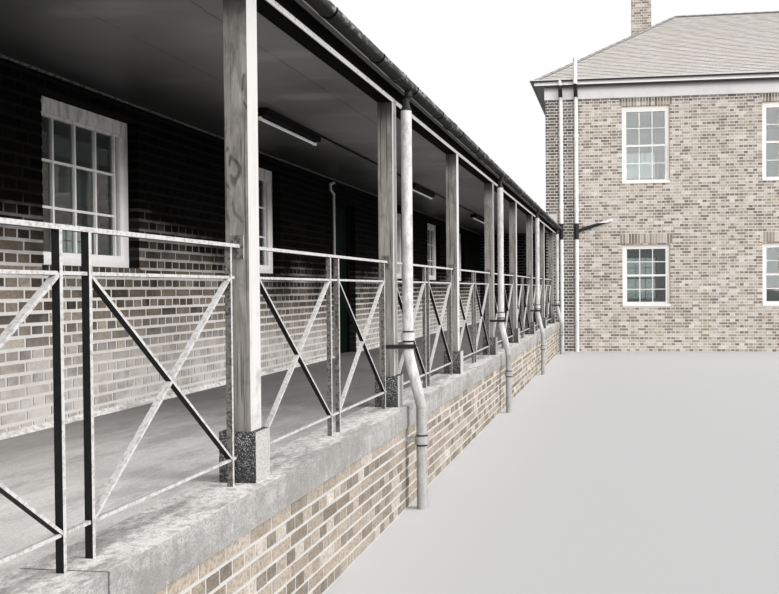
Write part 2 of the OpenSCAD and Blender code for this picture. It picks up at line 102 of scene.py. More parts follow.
# First joint between the coping's stones and their pitch
COPING_JOINT = 3.71
COPING_PITCH = 4.88

# Brickwork and tiles: a brick's face stands PROUD of the mortar, and its slab is BEDDED that far into it
COURSE = 0.075
JOINT = 0.014
WIDE_JOINT = 0.018
STRETCHER = 0.225
PROUD = 0.003
BEDDED = 0.002
REVEAL_GAP = 0.003
TILE_W = 0.165
TILE_GAUGE = 0.1

# Ways along the faces that look to the front, the rear, the near end and the far end
FRONT = (1, 0)
REAR = (-1, 0)
NEAR = (0, -1)
FAR = (0, 1)


def row(x, y, z):
    """Point of the plan in the row frame."""
    return Vector((CORNER.x + x, CORNER.y + y, z))


# Meshes made of many small solids

class Heap:
    """Collects many small solids, each with its own tone from 0 to 1, and joins them into one mesh."""

    BOX_FACES = ((0, 1, 5, 4), (1, 2, 6, 5), (2, 3, 7, 6), (3, 0, 4, 7), (4, 5, 6, 7), (3, 2, 1, 0))

    def __init__(self):
        self.points = []
        self.faces = []
        self.tones = []

    def solid(self, corners, tone=0.5, closed=True):
        """Solid between four lower and four upper corners; an open one has no face between the lower ones."""
        n = len(self.points)
        self.points += [tuple(c) for c in corners]
        faces = self.BOX_FACES if closed else self.BOX_FACES[:5]
        self.faces += [tuple(n + i for i in f) for f in faces]
        self.tones += [tone] * len(corners)

    def box(self, x0, x1, y0, y1, z0, z1):
        """Upright box in plan coordinates."""
        plan = ((x0, y0), (x1, y0), (x1, y1), (x0, y1))
        self.solid([row(x, y, z) for z in (z0, z1) for x, y in plan])

    def make(self, name, material, slot, body="building"):
        mesh = bpy.data.meshes.new(name)
        mesh.from_pydata(self.points, [], self.faces)
        tone = mesh.attributes.new("tone", "FLOAT", "POINT")
        tone.data.foreach_set("value", self.tones)
        mesh.polygons.foreach_set("use_smooth", [False] * len(mesh.polygons))
        mesh.materials.append(material)
        piece = bpy.data.objects.new(name, mesh)
        bpy.context.scene.collection.objects.link(piece)
        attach(piece, body)


class Face:
    """Upright plane: a point at its foot and the way along it, with the outside on the right, in the plan."""

    def __init__(self, x, y, along):
        self.start = Vector((x, y, 0))
        self.along = Vector((*along, 0))
        self.out = Vector((along[1], -along[0], 0))

    def at(self, a, d, z):
        p = self.start + self.along * a + self.out * d
        return row(p.x, p.y, z)

    def slab(self, heap, a0, a1, d0, d1, z0, z1, tone=0.5):
        """Box from depth d0 out to depth d1."""
        edges = ((a0, z0), (a1, z0), (a1, z1), (a0, z1))
        heap.solid([self.at(a, d, z) for d in (d0, d1) for a, z in edges], tone)

    def sunk(self, heap, a0, a1, d0, d1, z0, z1):
        """Box from d0 to d1 behind the face."""
        self.slab(heap, a0, a1, -d1, -d0, z0, z1)


def free_spans(length, holes, z0, z1, ends):
    """Spans of a course that no hole breaks, each with what its two ends meet: a corner, reveal or wall."""
    slack = 0.01
    shortest = 0.02
    cuts = sorted((a0, a1) for a0, a1, h0, h1 in holes if h0 < z1 - slack and h1 > z0 + slack)
    spans = []
    a = 0.0
    left = ends[0]
    for a0, a1 in cuts:
        spans.append((a, a0, left, "reveal"))
        a, left = a1, "reveal"
    spans.append((a, length, left, ends[1]))
    return [s for s in spans if s[1] - s[0] > shortest]


def brick_tone(header):
    """Nearly half of the headers are burnt dark, stretchers are mostly middling and a few bricks are pale."""
    dark_share = 0.45 if header else 0.2
    pale_share = 0.1
    t = rng.gauss(0.55, 0.14)
    if rng.random() < dark_share:
        t = rng.uniform(0.05, 0.3)
    elif rng.random() < pale_share:
        t = rng.uniform(0.8, 1.0)
    return min(max(t, 0.0), 1.0)


def lay_course(heap, face, span, low, high, header, joint):
    """Bricks of one course along a span, with a closer where a brick would be a sliver."""
    a0, a1, left, right = span
    run_on = {"corner": PROUD, "reveal": 0.002, "wall": 0.0}
    sliver = 0.045
    worn_edge = 0.004
    uneven = 0.0008
    pitch = STRETCHER / 2 if header else STRETCHER
    offset = 0 if header else STRETCHER / 4
    first = math.ceil((a0 + sliver - offset) / pitch)
    last = math.floor((a1 - sliver - offset) / pitch)
    joints = [a0] + [offset + k * pitch for k in range(first, last + 1)] + [a1]
    for b0, b1 in zip(joints, joints[1:]):
        at_left = b0 == a0
        at_right = b1 == a1
        b0 += -run_on[left] if at_left else joint / 2
        b1 -= -run_on[right] if at_right else joint / 2
        turned = (at_left and left == "reveal") or (at_right and right == "reveal")
        back = -RECESS + REVEAL_GAP if turned else -BEDDED
        worn = [rng.uniform(0, worn_edge) for _ in range(2)]
        front = PROUD + rng.uniform(-uneven, uneven)
        face.slab(heap, b0, b1, back, front, low + worn[0], high - worn[1], brick_tone(header))


def lay_bricks(heap, face, length, z0, z1, holes=(), ends=("corner", "corner"), joint=JOINT):
    """English bond: courses of headers and of stretchers by turns, cut thin where a hole ends within one."""
    thinnest = 0.012
    thinnest_cut = 0.018
    slack = 0.01
    under_hole = 0.002
    top_slack = 0.05
    top_course = math.ceil(z1 / COURSE - top_slack)
    for i in range(round(z0 / COURSE), top_course):
        low = max(z0, i * COURSE + joint / 2)
        high = min(z1, (i + 1) * COURSE - joint / 2)
        if high - low < thinnest:
            continue
        header = i % 2 == 0
        for span in free_spans(length, holes, low, high, ends):
            lay_course(heap, face, span, low, high, header, joint)
        for a0, a1, h0, h1 in holes:
            span = (a0 + joint / 2, a1 - joint / 2, "wall", "wall")
            if low + thinnest_cut < h0 < high - slack:
                lay_course(heap, face, span, low, h0 - under_hole, header, joint)
            if low + slack < h1 < high - thinnest_cut:
                lay_course(heap, face, span, h1 + joint / 2, high, header, joint)


def soldier_course(heap, face, a0, a1, z0, z1):
    """Bricks on end over an opening, or on edge under one, turned into its reveal."""
    count = round((a1 - a0) / COURSE)
    pitch = (a1 - a0) / count
    back = -RECESS + REVEAL_GAP
    for k in range(count):
        b = a0 + k * pitch
        face.slab(heap, b + JOINT / 2, b + pitch - JOINT / 2, back, PROUD, z0, z1, brick_tone(True))


def window_holes(places, sizes):
    """Holes [a0, a1, z0, z1] of windows at places along a face, for each (sill height, height, width)."""
    return [(a - w / 2, a + w / 2, z, z + h) for a in places for z, h, w in sizes]


# Materials

class Nodes:
    """Node tree built from named steps."""

    def __init__(self, tree):
        self.tree = tree

    def node(self, kind, values=(), **settings):
        made = self.tree.nodes.new(kind)
        for name, value in settings.items():
            setattr(made, name, value)
        for socket, value in dict(values).items():
            self.set(made.inputs[socket], value)
        return made

    def set(self, socket, value):
        if isinstance(value, bpy.types.NodeSocket):
            self.tree.links.new(value, socket)
        else:
            socket.default_value = value

    def math(self, operation, a, b=0.0):
        return self.node("ShaderNodeMath", {0: a, 1: b}, operation=operation).outputs[0]

    def times(self, a, b):
        return self.math("MULTIPLY", a, b)


class Shader(Nodes):
    """Principled material whose colour is built up in steps."""

    def __init__(self, name):
        self.material = bpy.data.materials.new(name)
        self.material.use_nodes = True
        super().__init__(self.material.node_tree)
        self.bsdf = self.tree.nodes["Principled BSDF"]
        self.place = self.node("ShaderNodeTexCoord").outputs["Object"]
        self.colour = None

    def stretch(self, x, y, z):
        return self.node("ShaderNodeMapping", {"Vector": self.place, "Scale": (x, y, z)}).outputs["Vector"]

    def noise(self, scale, detail=3.0, rough=0.5, place=None, distortion=0.0):
        values = {"Vector": place or self.place, "Scale": scale, "Detail": detail, "Roughness": rough,
                  "Distortion": distortion}
        return self.node("ShaderNodeTexNoise", values).outputs["Fac"]

    def cells(self, scale, place=None):
        values = {"Vector": place or self.place, "Scale": scale}
        return self.node("ShaderNodeTexVoronoi", values).outputs["Distance"]

    def tone(self):
        return self.node("ShaderNodeAttribute", attribute_name="tone").outputs["Fac"]

    def axis(self, name, of=None):
        return self.node("ShaderNodeSeparateXYZ", {"Vector": of or self.place}).outputs[name]

    def facing(self, name):
        """How far the surface faces along an axis of the object, from -1 to 1."""
        normal = self.node("ShaderNodeNewGeometry").outputs["True Normal"]
        turned = self.node("ShaderNodeVectorTransform", {"Vector": normal}, vector_type="NORMAL",
                           convert_from="WORLD", convert_to="OBJECT")
        return self.axis(name, turned.outputs["Vector"])

    def band(self, value, low, high, to_low=0.0, to_high=1.0):
        """Value from low to high, spread smoothly over to_low to to_high."""
        values = {"Value": value, "From Min": low, "From Max": high, "To Min": to_low, "To Max": to_high}
        return self.node("ShaderNodeMapRange", values, interpolation_type="SMOOTHSTEP").outputs["Result"]

    def along(self, name, low, high, to_low=0.0, to_high=1.0):
        """The same, between two places along an axis of the plan."""
        start = {"X": CORNER.x, "Y": CORNER.y, "Z": 0.0}[name]
        return self.band(self.axis(name), start + low, start + high, to_low, to_high)

    def ramp(self, value, stops):
        made = self.node("ShaderNodeValToRGB", {"Fac": value})
        elements = made.color_ramp.elements
        while len(elements) < len(stops):
            elements.new(0.5)
        for element, (position, colour) in zip(elements, stops):
            element.position = position
            element.color = (*colour, 1)
        return made.outputs["Color"]

    def mix(self, fac, a, b):
        made = self.node("ShaderNodeMix", data_type="RGBA")
        self.set(made.inputs["Factor"], fac)
        for socket, value in ((made.inputs[6], a), (made.inputs[7], b)):
            self.set(socket, (*value, 1) if isinstance(value, tuple) else value)
        return made.outputs[2]

    def lay(self, over, amount):
        """Lays a colour over the one so far, by an amount from 0 to 1."""
        self.colour = self.mix(amount, self.colour, over)

    def finish(self, rough, height=None, depth=0.002, shine=0.5, **uniform):
        """Material of the colour so far, with a roughness and with bumps of a height and depth."""
        colour = self.colour
        self.set(self.bsdf.inputs["Base Color"], (*colour, 1) if isinstance(colour, tuple) else colour)
        self.set(self.bsdf.inputs["Roughness"], rough)
        self.bsdf.inputs["Specular IOR Level"].default_value = shine
        for name, value in uniform.items():
            self.bsdf.inputs[name].default_value = value
        if height is not None:
            bump = self.node("ShaderNodeBump", {"Height": height, "Distance": depth, "Strength": 1.0})
            self.set(self.bsdf.inputs["Normal"], bump.outputs["Normal"])
        return self.material


def material(build):
    """Material that a function makes with a shader of its own, under the function's name."""
    return build(Shader(build.__name__))


def grey(v, warm=0.0):
    """Linear colour of a grey of that brightness, a little warmer or cooler."""
    return (v * (1 + warm), v, v * (1 - warm))


def brick_stops(*shades):
    """Colours of burnt, dark, plain and pale bricks by their tone, each from a grey and its warmth."""
    return [(tone, grey(*shade)) for tone, shade in zip((0.0, 0.35, 0.6, 1.0), shades)]


WING_STOPS = brick_stops((0.03, 0.2), (0.13, 0.25), (0.2, 0.25), (0.42, 0.15))
PLINTH_STOPS = brick_stops((0.15, 0.2), (0.28, 0.2), (0.4, 0.18), (0.6, 0.1))
BLOCK_STOPS = brick_stops((0.14, 0.2), (0.36, 0.2), (0.52, 0.15), (0.75, 0.08))


def soot_and_painted_shade(s, clean, black):
    """Painted shade, with some soot: how black the upper courses under the verandah roof are, where its
    shadow falls, and the reveals that face its near end, which the light doesn't reach.
    """
    # Painted shade: darker up the wall under the roof and farther along it
    edge = s.math("ADD", s.axis("Z"), s.times(s.noise(1.1, 5, 0.6), 0.8))
    edge = s.math("ADD", edge, s.along("X", 4.0, 9.0, 0.0, 0.3))
    upper = s.band(edge, clean + 0.4, black + 0.4, 0.0, 0.99)
    # Faces that look to the near end: painted shade
    return s.math("MAXIMUM", upper, s.band(s.facing("X"), -0.9, -0.6, 0.95, 0.0))


def bricks(s, stops):
    """Colour for each brick, with dark specks and pale clouds."""
    s.colour = s.ramp(s.tone(), stops)
    s.lay(grey(0.03), s.band(s.noise(60, 4, 0.65), 0.35, 0.75, 0, 0.55))
    s.lay(grey(0.3, 0.05), s.band(s.noise(9, 3), 0.45, 0.75, 0, 0.35))


def brick_finish(s, shine=0.12):
    return s.finish(0.9, s.math("ADD", s.noise(160, 3), s.times(s.noise(9, 3), 0.6)), 0.003, shine)


@material
def wing_brick(s):
    bricks(s, PLINTH_STOPS)
    return brick_finish(s)


@material
def corridor_brick(s):
    """Bricks under the verandah roof: bleached by salts and scrubbing low down, black above with painted
    shade and some soot.
    """
    bricks(s, WING_STOPS)
    low = s.along("Z", FLOOR_Z + 0.1, FLOOR_Z + 0.8, 0.86, 0.0)
    s.lay(grey(0.62, 0.05), s.times(low, s.band(s.noise(4, 5, 0.65), 0.32, 0.6, 0.4, 1.0)))
    # Painted shade, with some soot, on the upper courses and the reveals
    s.lay(grey(0.001), soot_and_painted_shade(s, 1.35, 2.2))
    return brick_finish(s, 0.02)


@material
def block_brick_face(s):
    """Bricks of the block: darker in the corner beside the verandah, partly painted shade under the
    verandah's eaves, and black with painted shade under the frieze.
    """
    bricks(s, BLOCK_STOPS)
    # Corner beside the verandah: darker, partly painted shade under the verandah's eaves
    front = s.along("X", WING_LEN + 0.02, WING_LEN + 0.05, 1.0, 0.0)
    corner = s.times(s.along("Y", -0.7, -0.35, 0.0, 0.75), front)
    stained = s.times(corner, s.band(s.noise(1.6, 4), 0.3, 0.6, 0.6, 1.0))
    # Top courses under the frieze: painted shade
    under_frieze = s.along("Z", FRIEZE_Z - 0.14, FRIEZE_Z - 0.08, 0.0, 0.6)
    top = s.times(under_frieze, s.along("Z", SOFFIT_Z, SOFFIT_Z + 0.1, 1.0, 0.0))
    s.lay(grey(0.03), s.math("MAXIMUM", stained, top))
    return brick_finish(s)


def mortar(s, pale):
    s.colour = s.ramp(s.noise(220, 3, 0.7), [(0.3, grey(pale * 0.8, 0.05)), (0.7, grey(pale, 0.04))])
    s.lay(grey(pale * 0.5, 0.06), s.band(s.noise(3, 4), 0.5, 0.8, 0, 0.4))


def mortar_finish(s, shine=0.12):
    return s.finish(0.95, s.noise(220, 3, 0.7), 0.002, shine)


@material
def wing_mortar(s):
    mortar(s, 0.6)
    return mortar_finish(s)


@material
def block_mortar(s):
    mortar(s, 0.72)
    return mortar_finish(s)


@material
def corridor_mortar(s):
    """Mortar under the verandah roof, black above with painted shade and some soot."""
    mortar(s, 0.72)
    # Painted shade, with some soot, on the upper joints and the reveals
    s.lay(grey(0.001), soot_and_painted_shade(s, 1.5, 2.25))
    return mortar_finish(s, 0.02)


@material
def end_mortar(s):
    """Mortar of the wing's end walls, black with painted shade where the verandah runs against the block."""
    mortar(s, 0.6)
    after = s.along("X", WING_LEN - 0.6, WING_LEN - 0.5)
    before = s.along("X", WING_LEN + 0.5, WING_LEN + 0.6, 1.0, 0.0)
    # Painted shade at the verandah's far end
    s.lay(grey(0.01), s.times(s.times(after, before), 0.93))
    return mortar_finish(s)


@material
def coping_concrete(s):
    """Weathered concrete: pale top, darker upright fronts with rain streaks, speckled stones and stains."""
    fine = s.noise(130, 4, 0.7)
    stones = s.cells(70)
    blotches = s.noise(5, 6, 0.7, s.stretch(0.35, 1, 1))
    streaks = s.noise(16, 5, 0.7, s.stretch(1, 1, 0.1))
    upright = s.band(s.facing("Z"), 0.3, 0.7, 1.0, 0.0)
    s.colour = s.ramp(fine, [(0.3, grey(0.74, 0.03)), (0.65, grey(0.9, 0.03))])
    # Upright faces darker than the top
    s.lay(s.ramp(fine, [(0.36, grey(0.3, 0.03)), (0.62, grey(0.54, 0.03))]), upright)
    s.lay(grey(0.14, 0.03), s.band(stones, 0.0, 0.35, 0.3, 0))
    s.lay(grey(0.22, 0.05), s.band(blotches, 0.46, 0.62, 0, 0.6))
    s.lay(grey(0.2, 0.04), s.band(s.noise(26, 5, 0.75), 0.45, 0.62, 0, 0.5))
    run = s.band(s.math("ADD", streaks, s.times(s.axis("Z"), -0.9)), -0.24, 0.02, 0.0, 0.5)
    s.lay(grey(0.24, 0.05), s.times(run, upright))
    from_joint = s.math("SUBTRACT", s.axis("X"), CORNER.x + COPING_JOINT)
    within = s.math("FRACT", s.times(from_joint, 1 / COPING_PITCH))
    cut = s.band(s.math("ABSOLUTE", s.math("SUBTRACT", within, 0.5)), 0.0005, 0.0015, 1.0, 0.0)
    s.lay(grey(0.06), s.times(cut, 0.8))
    return s.finish(0.9, s.math("ADD", fine, s.times(stones, 0.8)), 0.003, 0.2)


@material
def floor_concrete(s):
    """Verandah floor: worn pale paths with long dull streaks, and painted shade darkening it beside the wall
    and farther in.
    """
    streaks = s.noise(7, 6, 0.7, s.stretch(0.25, 1, 1))
    blotches = s.noise(3.5, 6, 0.75, s.stretch(0.4, 1, 1))
    fine = s.noise(90, 4, 0.7)
    s.colour = s.ramp(streaks, [(0.32, grey(0.7, 0.03)), (0.7, grey(0.92, 0.03))])
    s.lay(grey(0.2, 0.03), s.band(blotches, 0.45, 0.65, 0, 0.4))
    s.lay(grey(0.2, 0.03), s.band(fine, 0.45, 0.7, 0, 0.3))
    # Painted shade beside the wall and farther in under the roof
    s.lay(grey(0.16, 0.03), s.along("Y", WALL_Y - 0.9, WALL_Y - 0.1, 0.0, 0.55))
    s.lay(grey(0.12, 0.03), s.along("X", 2.0, 6.0, 0.0, 0.86))
    return s.finish(0.8, fine, 0.002, 0.2)


@material
def stool_concrete(s):
    """Post bases: rough cast of dark and pale stones, paler on the weather side, scrubbed and painted lighter
    where the light falls.
    """
    stones = s.cells(95)
    grit = s.noise(150, 4, 0.75)
    s.colour = s.ramp(grit, [(0.42, grey(0.02)), (0.54, grey(0.1)), (0.63, grey(0.5))])
    s.lay(grey(0.03), s.along("Z", FLOOR_Z, FLOOR_Z + 0.16, 0.6, 0.0))
    # Weather side: scrubbed, and painted light where the light falls
    pale = s.ramp(grit, [(0.35, grey(0.3, 0.03)), (0.5, grey(0.56, 0.03))])
    s.lay(pale, s.band(s.facing("Y"), -0.9, -0.5, 1.0, 0.0))
    return s.finish(0.95, s.math("ADD", grit, stones), 0.006, 0.15)


@material
def post_timber(s):
    """Bare weathered post: fine long grain, checks, knots and stains, bleached and painted lighter on the
    weather side, with painted shade at its top under the beam.
    """
    grain = s.noise(140, 5, 0.7, s.stretch(1, 1, 0.05), 0.4)
    broad = s.noise(24, 4, 0.6, s.stretch(1, 1, 0.12), 0.6)
    checks = s.noise(60, 2, 0.4, s.stretch(1, 1, 0.02))
    knots = s.cells(2.6, s.stretch(1, 1, 0.75))
    rings = s.math("SINE", s.times(knots, 150))
    blotches = s.noise(11, 4, 0.6, s.stretch(1, 1, 0.6), 0.8)
    second_post = FIRST_POST + BAY_W
    near_posts = s.along("X", second_post + 0.5, second_post + 1.0, 0.8, 0.25)
    s.colour = s.ramp(grain, [(0.3, grey(0.22, 0.07)), (0.7, grey(0.36, 0.05))])
    s.lay(grey(0.13, 0.09), s.band(broad, 0.38, 0.64, 0, 0.6))
    stained = s.times(s.along("Z", 1.3, 2.0, 0.3, 1.0), near_posts)
    s.lay(grey(0.1, 0.1), s.times(stained, s.band(blotches, 0.36, 0.74, 0.0, 0.9)))
    contour = s.math("ABSOLUTE", s.math("SUBTRACT", s.noise(7, 1, 0.4, s.stretch(1, 1, 0.5), 0.8), 0.5))
    strokes = s.times(s.band(contour, 0.014, 0.04, 1.0, 0.0), s.band(s.noise(11, 1), 0.48, 0.56))
    strokes = s.times(strokes, s.along("Z", 1.7, 2.2, 0.2, 1.0))
    s.lay(grey(0.03, 0.1), s.times(strokes, s.times(near_posts, 0.9)))
    s.lay(grey(0.04, 0.1), s.band(checks, 0.62, 0.68, 0, 0.6))
    s.lay(grey(0.12, 0.12), s.times(s.band(knots, 0.05, 0.16, 1, 0), s.band(rings, -0.2, 0.9, 0, 0.4)))
    s.lay(grey(0.03, 0.15), s.band(knots, 0.03, 0.07, 0.8, 0))
    # Weather side: bleached, and painted light where the sun falls
    bleached_and_lit = s.mix(s.band(grain, 0.55, 0.75, 0, 0.35), grey(0.6, 0.03), grey(0.42, 0.05))
    s.lay(bleached_and_lit, s.band(s.facing("Y"), -0.95, -0.6, 1.0, 0.0))
    s.lay(grey(0.2, 0.08), s.times(s.along("Z", 1.0, 1.9, 1, 0), s.band(s.noise(8, 3), 0.5, 0.7, 0, 0.5)))
    # Painted shade at the top under the beam, on the faces that don't look out
    painted_shade = s.along("Z", BEAM_Z - 0.24, BEAM_Z - 0.04, 0.0, 0.86)
    s.lay(grey(0.02), s.times(painted_shade, s.band(s.facing("Y"), -0.9, -0.5)))
    return s.finish(0.85, s.math("SUBTRACT", grain, s.band(checks, 0.6, 0.68, 0, 1.2)), 0.002, 0.15)


def worn_paint(s, colour, rough, flaking, under):
    """Colour of old paint with soft clouds of grime and flaked specks; gives its roughness and height."""
    grime = s.noise(2.3, 5, 0.6)
    specks = s.noise(48, 4, 0.7)
    brushed = s.noise(90, 3, 0.5, s.stretch(1, 1, 0.15))
    s.colour = s.mix(s.band(grime, 0.45, 0.75, 0, 0.35), colour, tuple(c * 0.6 for c in colour))
    s.lay(under, s.band(specks, 0.7 - 0.12 * flaking, 0.74 - 0.1 * flaking, 0, 0.8 * min(1, flaking * 2)))
    return s.band(specks, 0.4, 0.8, rough, min(1, rough + 0.25)), s.math("ADD", brushed, specks)


def paint_material(name, colour, rough, flaking=0.2, under=(0.09, 0.06, 0.045), shine=0.5):
    """Old gloss or flat paint."""
    s = Shader(name)
    rough, height = worn_paint(s, colour, rough, flaking, under)
    return s.finish(rough, height, 0.0012, shine)


def pipe_material(name, pale, mottle, painted_shade, dark_bands):
    """Pipe paint: mottled, with painted shade on the side away from the light and black in some bands of
    height.
    """
    s = Shader(name)
    soft = 0.004
    rough, height = worn_paint(s, grey(pale, 0.02), 0.5, 0.5, grey(0.12, 0.1))
    s.lay(grey(0.12, 0.05), s.band(s.noise(20, 6, 0.75, s.stretch(1, 1, 0.4)), 0.38, 0.68, 0.0, mottle))
    s.lay(grey(0.12, 0.05), s.along("Z", FLOOR_Z - 0.1, FLOOR_Z + 0.3, mottle, 0.0))
    # Painted shade on the side away from the light
    s.lay(grey(0.04), s.band(s.facing("Y"), 0.1, 0.7, 0.0, painted_shade))
    for low, high in dark_bands:
        inside = s.times(s.along("Z", low - soft, low + soft), s.along("Z", high - soft, high + soft, 1, 0))
        s.lay(grey(0.012), s.times(inside, 0.99))
    return s.finish(rough, height, 0.002, 0.2)


def white_paint_shaded_below(name, up_to, below):
    """White paint, black with painted shade on the faces that look down."""
    s = Shader(name)
    rough, height = worn_paint(s, grey(0.82, 0.01), 0.4, 0.1, grey(0.3, 0.05))
    # Painted shade on the faces that look down
    s.lay(grey(0.006), s.band(s.facing("Z"), up_to, below, 0.0, 0.97))
    return s.finish(rough, height, 0.001)


@material
def gutter_paint(s):
    """Dark gutter paint, worn pale in patches where the weather reaches, and black underneath with painted
    shade.
    """
    rough, height = worn_paint(s, grey(0.06, 0.02), 0.55, 0.6, grey(0.02))
    patches = s.noise(18, 5, 0.75, s.stretch(0.4, 1, 1))
    s.lay(grey(0.36, 0.02), s.band(patches, 0.49, 0.58, 0.0, 0.8))
    # Painted shade underneath
    s.lay(grey(0.004), s.band(s.facing("Z"), -0.75, -0.3, 0.98, 0.0))
    return s.finish(rough, height, 0.0012, 0.12)


@material
def window_paint(s):
    """White joinery under the verandah roof, with painted shade darkening it towards its top."""
    rough, height = worn_paint(s, grey(0.92, 0.02), 0.4, 0.15, grey(0.2, 0.1))
    streaks = s.noise(30, 4, 0.6, s.stretch(1, 1, 0.2))
    # Painted shade towards the top, under the roof
    s.lay(grey(0.03), s.times(s.along("Z", 2.2, 2.9, 0.0, 0.75), s.band(streaks, 0.3, 0.6, 1.0, 0.6)))
    return s.finish(rough, height, 0.001, 0.3)


@material
def fascia_paint(s):
    """Light board, black with painted shade except its lower edge, which shows as a light line."""
    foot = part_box("wing_fascia")[0].z
    rough, height = worn_paint(s, grey(0.6, 0.01), 0.5, 0.5, grey(0.1, 0.05))
    # Painted shade over the board above its lower edge
    s.colour = s.mix(s.along("Z", foot + 0.002, foot + 0.004, 1.0, 0.0), grey(0.008), s.colour)
    return s.finish(rough, height, 0.001, 0.1)


@material
def frieze_paint(s):
    """White boards, grey with painted shade under the eaves."""
    rough, height = worn_paint(s, grey(0.66, 0.01), 0.5, 0.1, grey(0.3, 0.05))
    # Painted shade under the eaves
    s.lay(grey(0.12), s.along("Z", SOFFIT_Z - 0.13, SOFFIT_Z, 0.0, 0.85))
    return s.finish(rough, height, 0.001)


@material
def railing_paint(s):
    """White paint with painted shade: bars are black underneath, and their near sides grey, or black in the
    near bay.
    """
    specks = s.noise(60, 4, 0.7)
    s.colour = s.mix(s.band(specks, 0.46, 0.64, 0, 0.6), grey(0.56, 0.02), grey(0.22, 0.12))
    # Near sides of the bars: painted shade
    worn = s.mix(s.band(specks, 0.45, 0.6, 0, 1.0), grey(0.16, 0.05), grey(0.05, 0.1))
    near_bay = s.along("X", FIRST_POST + BAY_W * 0.75, FIRST_POST + BAY_W * 0.8, 0.96, 0.0)
    s.lay(s.mix(near_bay, worn, grey(0.006)), s.band(s.facing("X"), -0.95, -0.8, 1.0, 0.0))
    # Undersides: painted shade
    s.lay(grey(0.003), s.band(s.facing("Z"), -0.4, -0.2, 1.0, 0.0))
    return s.finish(0.5, specks, 0.001, 0.12)


@material
def glass(s):
    """Old window glass, a little dirty and rippled."""
    s.colour = (0.5, 0.55, 0.54)
    clear = {"Transmission Weight": 0.94, "IOR": 1.45}
    return s.finish(0.02, s.noise(2, 1), 0.0003, **clear)


def tile_material(name, pale):
    """Clay plain tiles with a colour for each, lichen, dark weathered tails, and undersides black with
    painted shade.
    """
    s = Shader(name)
    shades = ((0.0, 0.92, 0.07), (0.5, 1.0, 0.07), (1.0, 1.06, 0.05))
    s.colour = s.ramp(s.tone(), [(tone, grey(pale * shade, warm)) for tone, shade, warm in shades])
    s.lay(grey(pale * 0.55, 0.05), s.band(s.noise(55, 4, 0.7), 0.5, 0.75, 0, 0.3))
    s.lay(grey(pale * 1.1, 0.02), s.band(s.noise(1.1, 5), 0.5, 0.75, 0, 0.25))
    s.lay(grey(pale * 0.12, 0.05), s.band(s.facing("Z"), 0.3, 0.55, 0.8, 0.0))
    # Undersides: painted shade
    s.lay(grey(0.006), s.band(s.facing("Z"), -0.3, -0.1, 0.98, 0.0))
    return s.finish(0.85, s.noise(140, 3), 0.002, 0.2)


@material
def ceiling_paint(s):
    """Boards in old grey gloss paint, dull in soft clouds, with a seam every two feet, a painted reflection
    in pale streaks across them and painted shade darkening them towards the wall.
    """
    board_w = 0.6
    clouds = s.noise(0.9, 3, 0.5)
    s.colour = s.ramp(clouds, [(0.3, grey(0.1)), (0.7, grey(0.2))])
    within = s.math("FRACT", s.times(s.axis("Y"), 1 / board_w))
    seam = s.band(s.math("ABSOLUTE", s.math("SUBTRACT", within, 0.5)), 0.488, 0.496)
    s.lay(grey(0.02), s.times(seam, 0.5))
    # Pale streaks across the boards: painted reflection
    s.lay(grey(0.3), s.band(s.noise(2.6, 5, 0.6, s.stretch(1, 0.3, 1)), 0.5, 0.7, 0.0, 0.5))
    # Painted shade towards the wall
    s.lay(grey(0.012), s.along("Y", WALL_Y - 1.5, WALL_Y - 0.1, 0.0, 0.92))
    return s.finish(s.band(clouds, 0.3, 0.7, 0.34, 0.48), seam, 0.001, 0.4)


@material
def lamp_paint(s):
    """White tube below a black batten, holders and conduit."""
    s.colour = s.mix(s.along("Z", CEILING_Z - 0.068, CEILING_Z - 0.066), grey(0.85), grey(0.008))
    return s.finish(s.band(s.noise(60, 3), 0.3, 0.7, 0.4, 0.6), s.noise(80, 3), 0.0004, 0.02)


@material
def floor_boards(s):
    """Boards of the inner floors, each with its own shade."""
    boards_a_metre = 8.0
    board = s.math("FLOOR", s.times(s.axis("Y"), boards_a_metre))
    shade = s.node("ShaderNodeTexWhiteNoise", {"W": board}, noise_dimensions="1D").outputs["Value"]
    grain = s.noise(40, 4, 0.6, s.stretch(0.06, 1, 1), 0.5)
    s.colour = s.ramp(grain, [(0.3, (0.13, 0.075, 0.04)), (0.7, (0.27, 0.17, 0.1))])
    s.lay((0.1, 0.06, 0.035), s.times(shade, 0.4))
    return s.finish(0.45, grain, 0.001)


@material
def worn_brass(s):
    polished = (0.42, 0.33, 0.16)
    wear = s.noise(70, 4, 0.6)
    s.colour = s.ramp(wear, [(0.3, tuple(c * 0.6 for c in polished)), (0.7, polished)])
    return s.finish(0.35, wear, 0.0005, Metallic=0.9)


white_paint = paint_material("white_paint", grey(0.78, 0.03), 0.4)
dark_paint = paint_material("dark_paint", grey(0.004), 0.7, 0.2, grey(0.02, 0.1), 0.02)
bead_paint = paint_material("bead_paint", grey(0.62, 0.02), 0.6, 0.9, grey(0.05), 0.2)
wall_pipe_paint = paint_material("wall_pipe_paint", grey(0.35, 0.02), 0.6, 0.8, grey(0.02), 0.2)
door_paint = paint_material("door_paint", (0.004, 0.007, 0.006), 0.6, 0.1, (0.02, 0.016, 0.012), 0.02)
cove_paint = paint_material("cove_paint", grey(0.12, 0.02), 0.6, 1.9, grey(0.005), 0.1)
lead = paint_material("weathered_lead", grey(0.6), 0.6, 0.2, grey(0.3), 0.2)
pipe_paint = pipe_material("pipe_paint", 0.62, 0.5, 0.3, PIPE_BANDS)
pale_pipe_paint = pipe_material("pale_pipe_paint", 0.85, 0.2, 0.2, BLOCK_PIPE_BANDS)
eaves_paint = white_paint_shaded_below("eaves_paint", -0.3, -0.6)
gutter_white = white_paint_shaded_below("gutter_white", -0.15, -0.45)
roof_tiles = tile_material("roof_tiles", 0.62)
ridge_tiles = tile_material("ridge_tiles", 0.3)

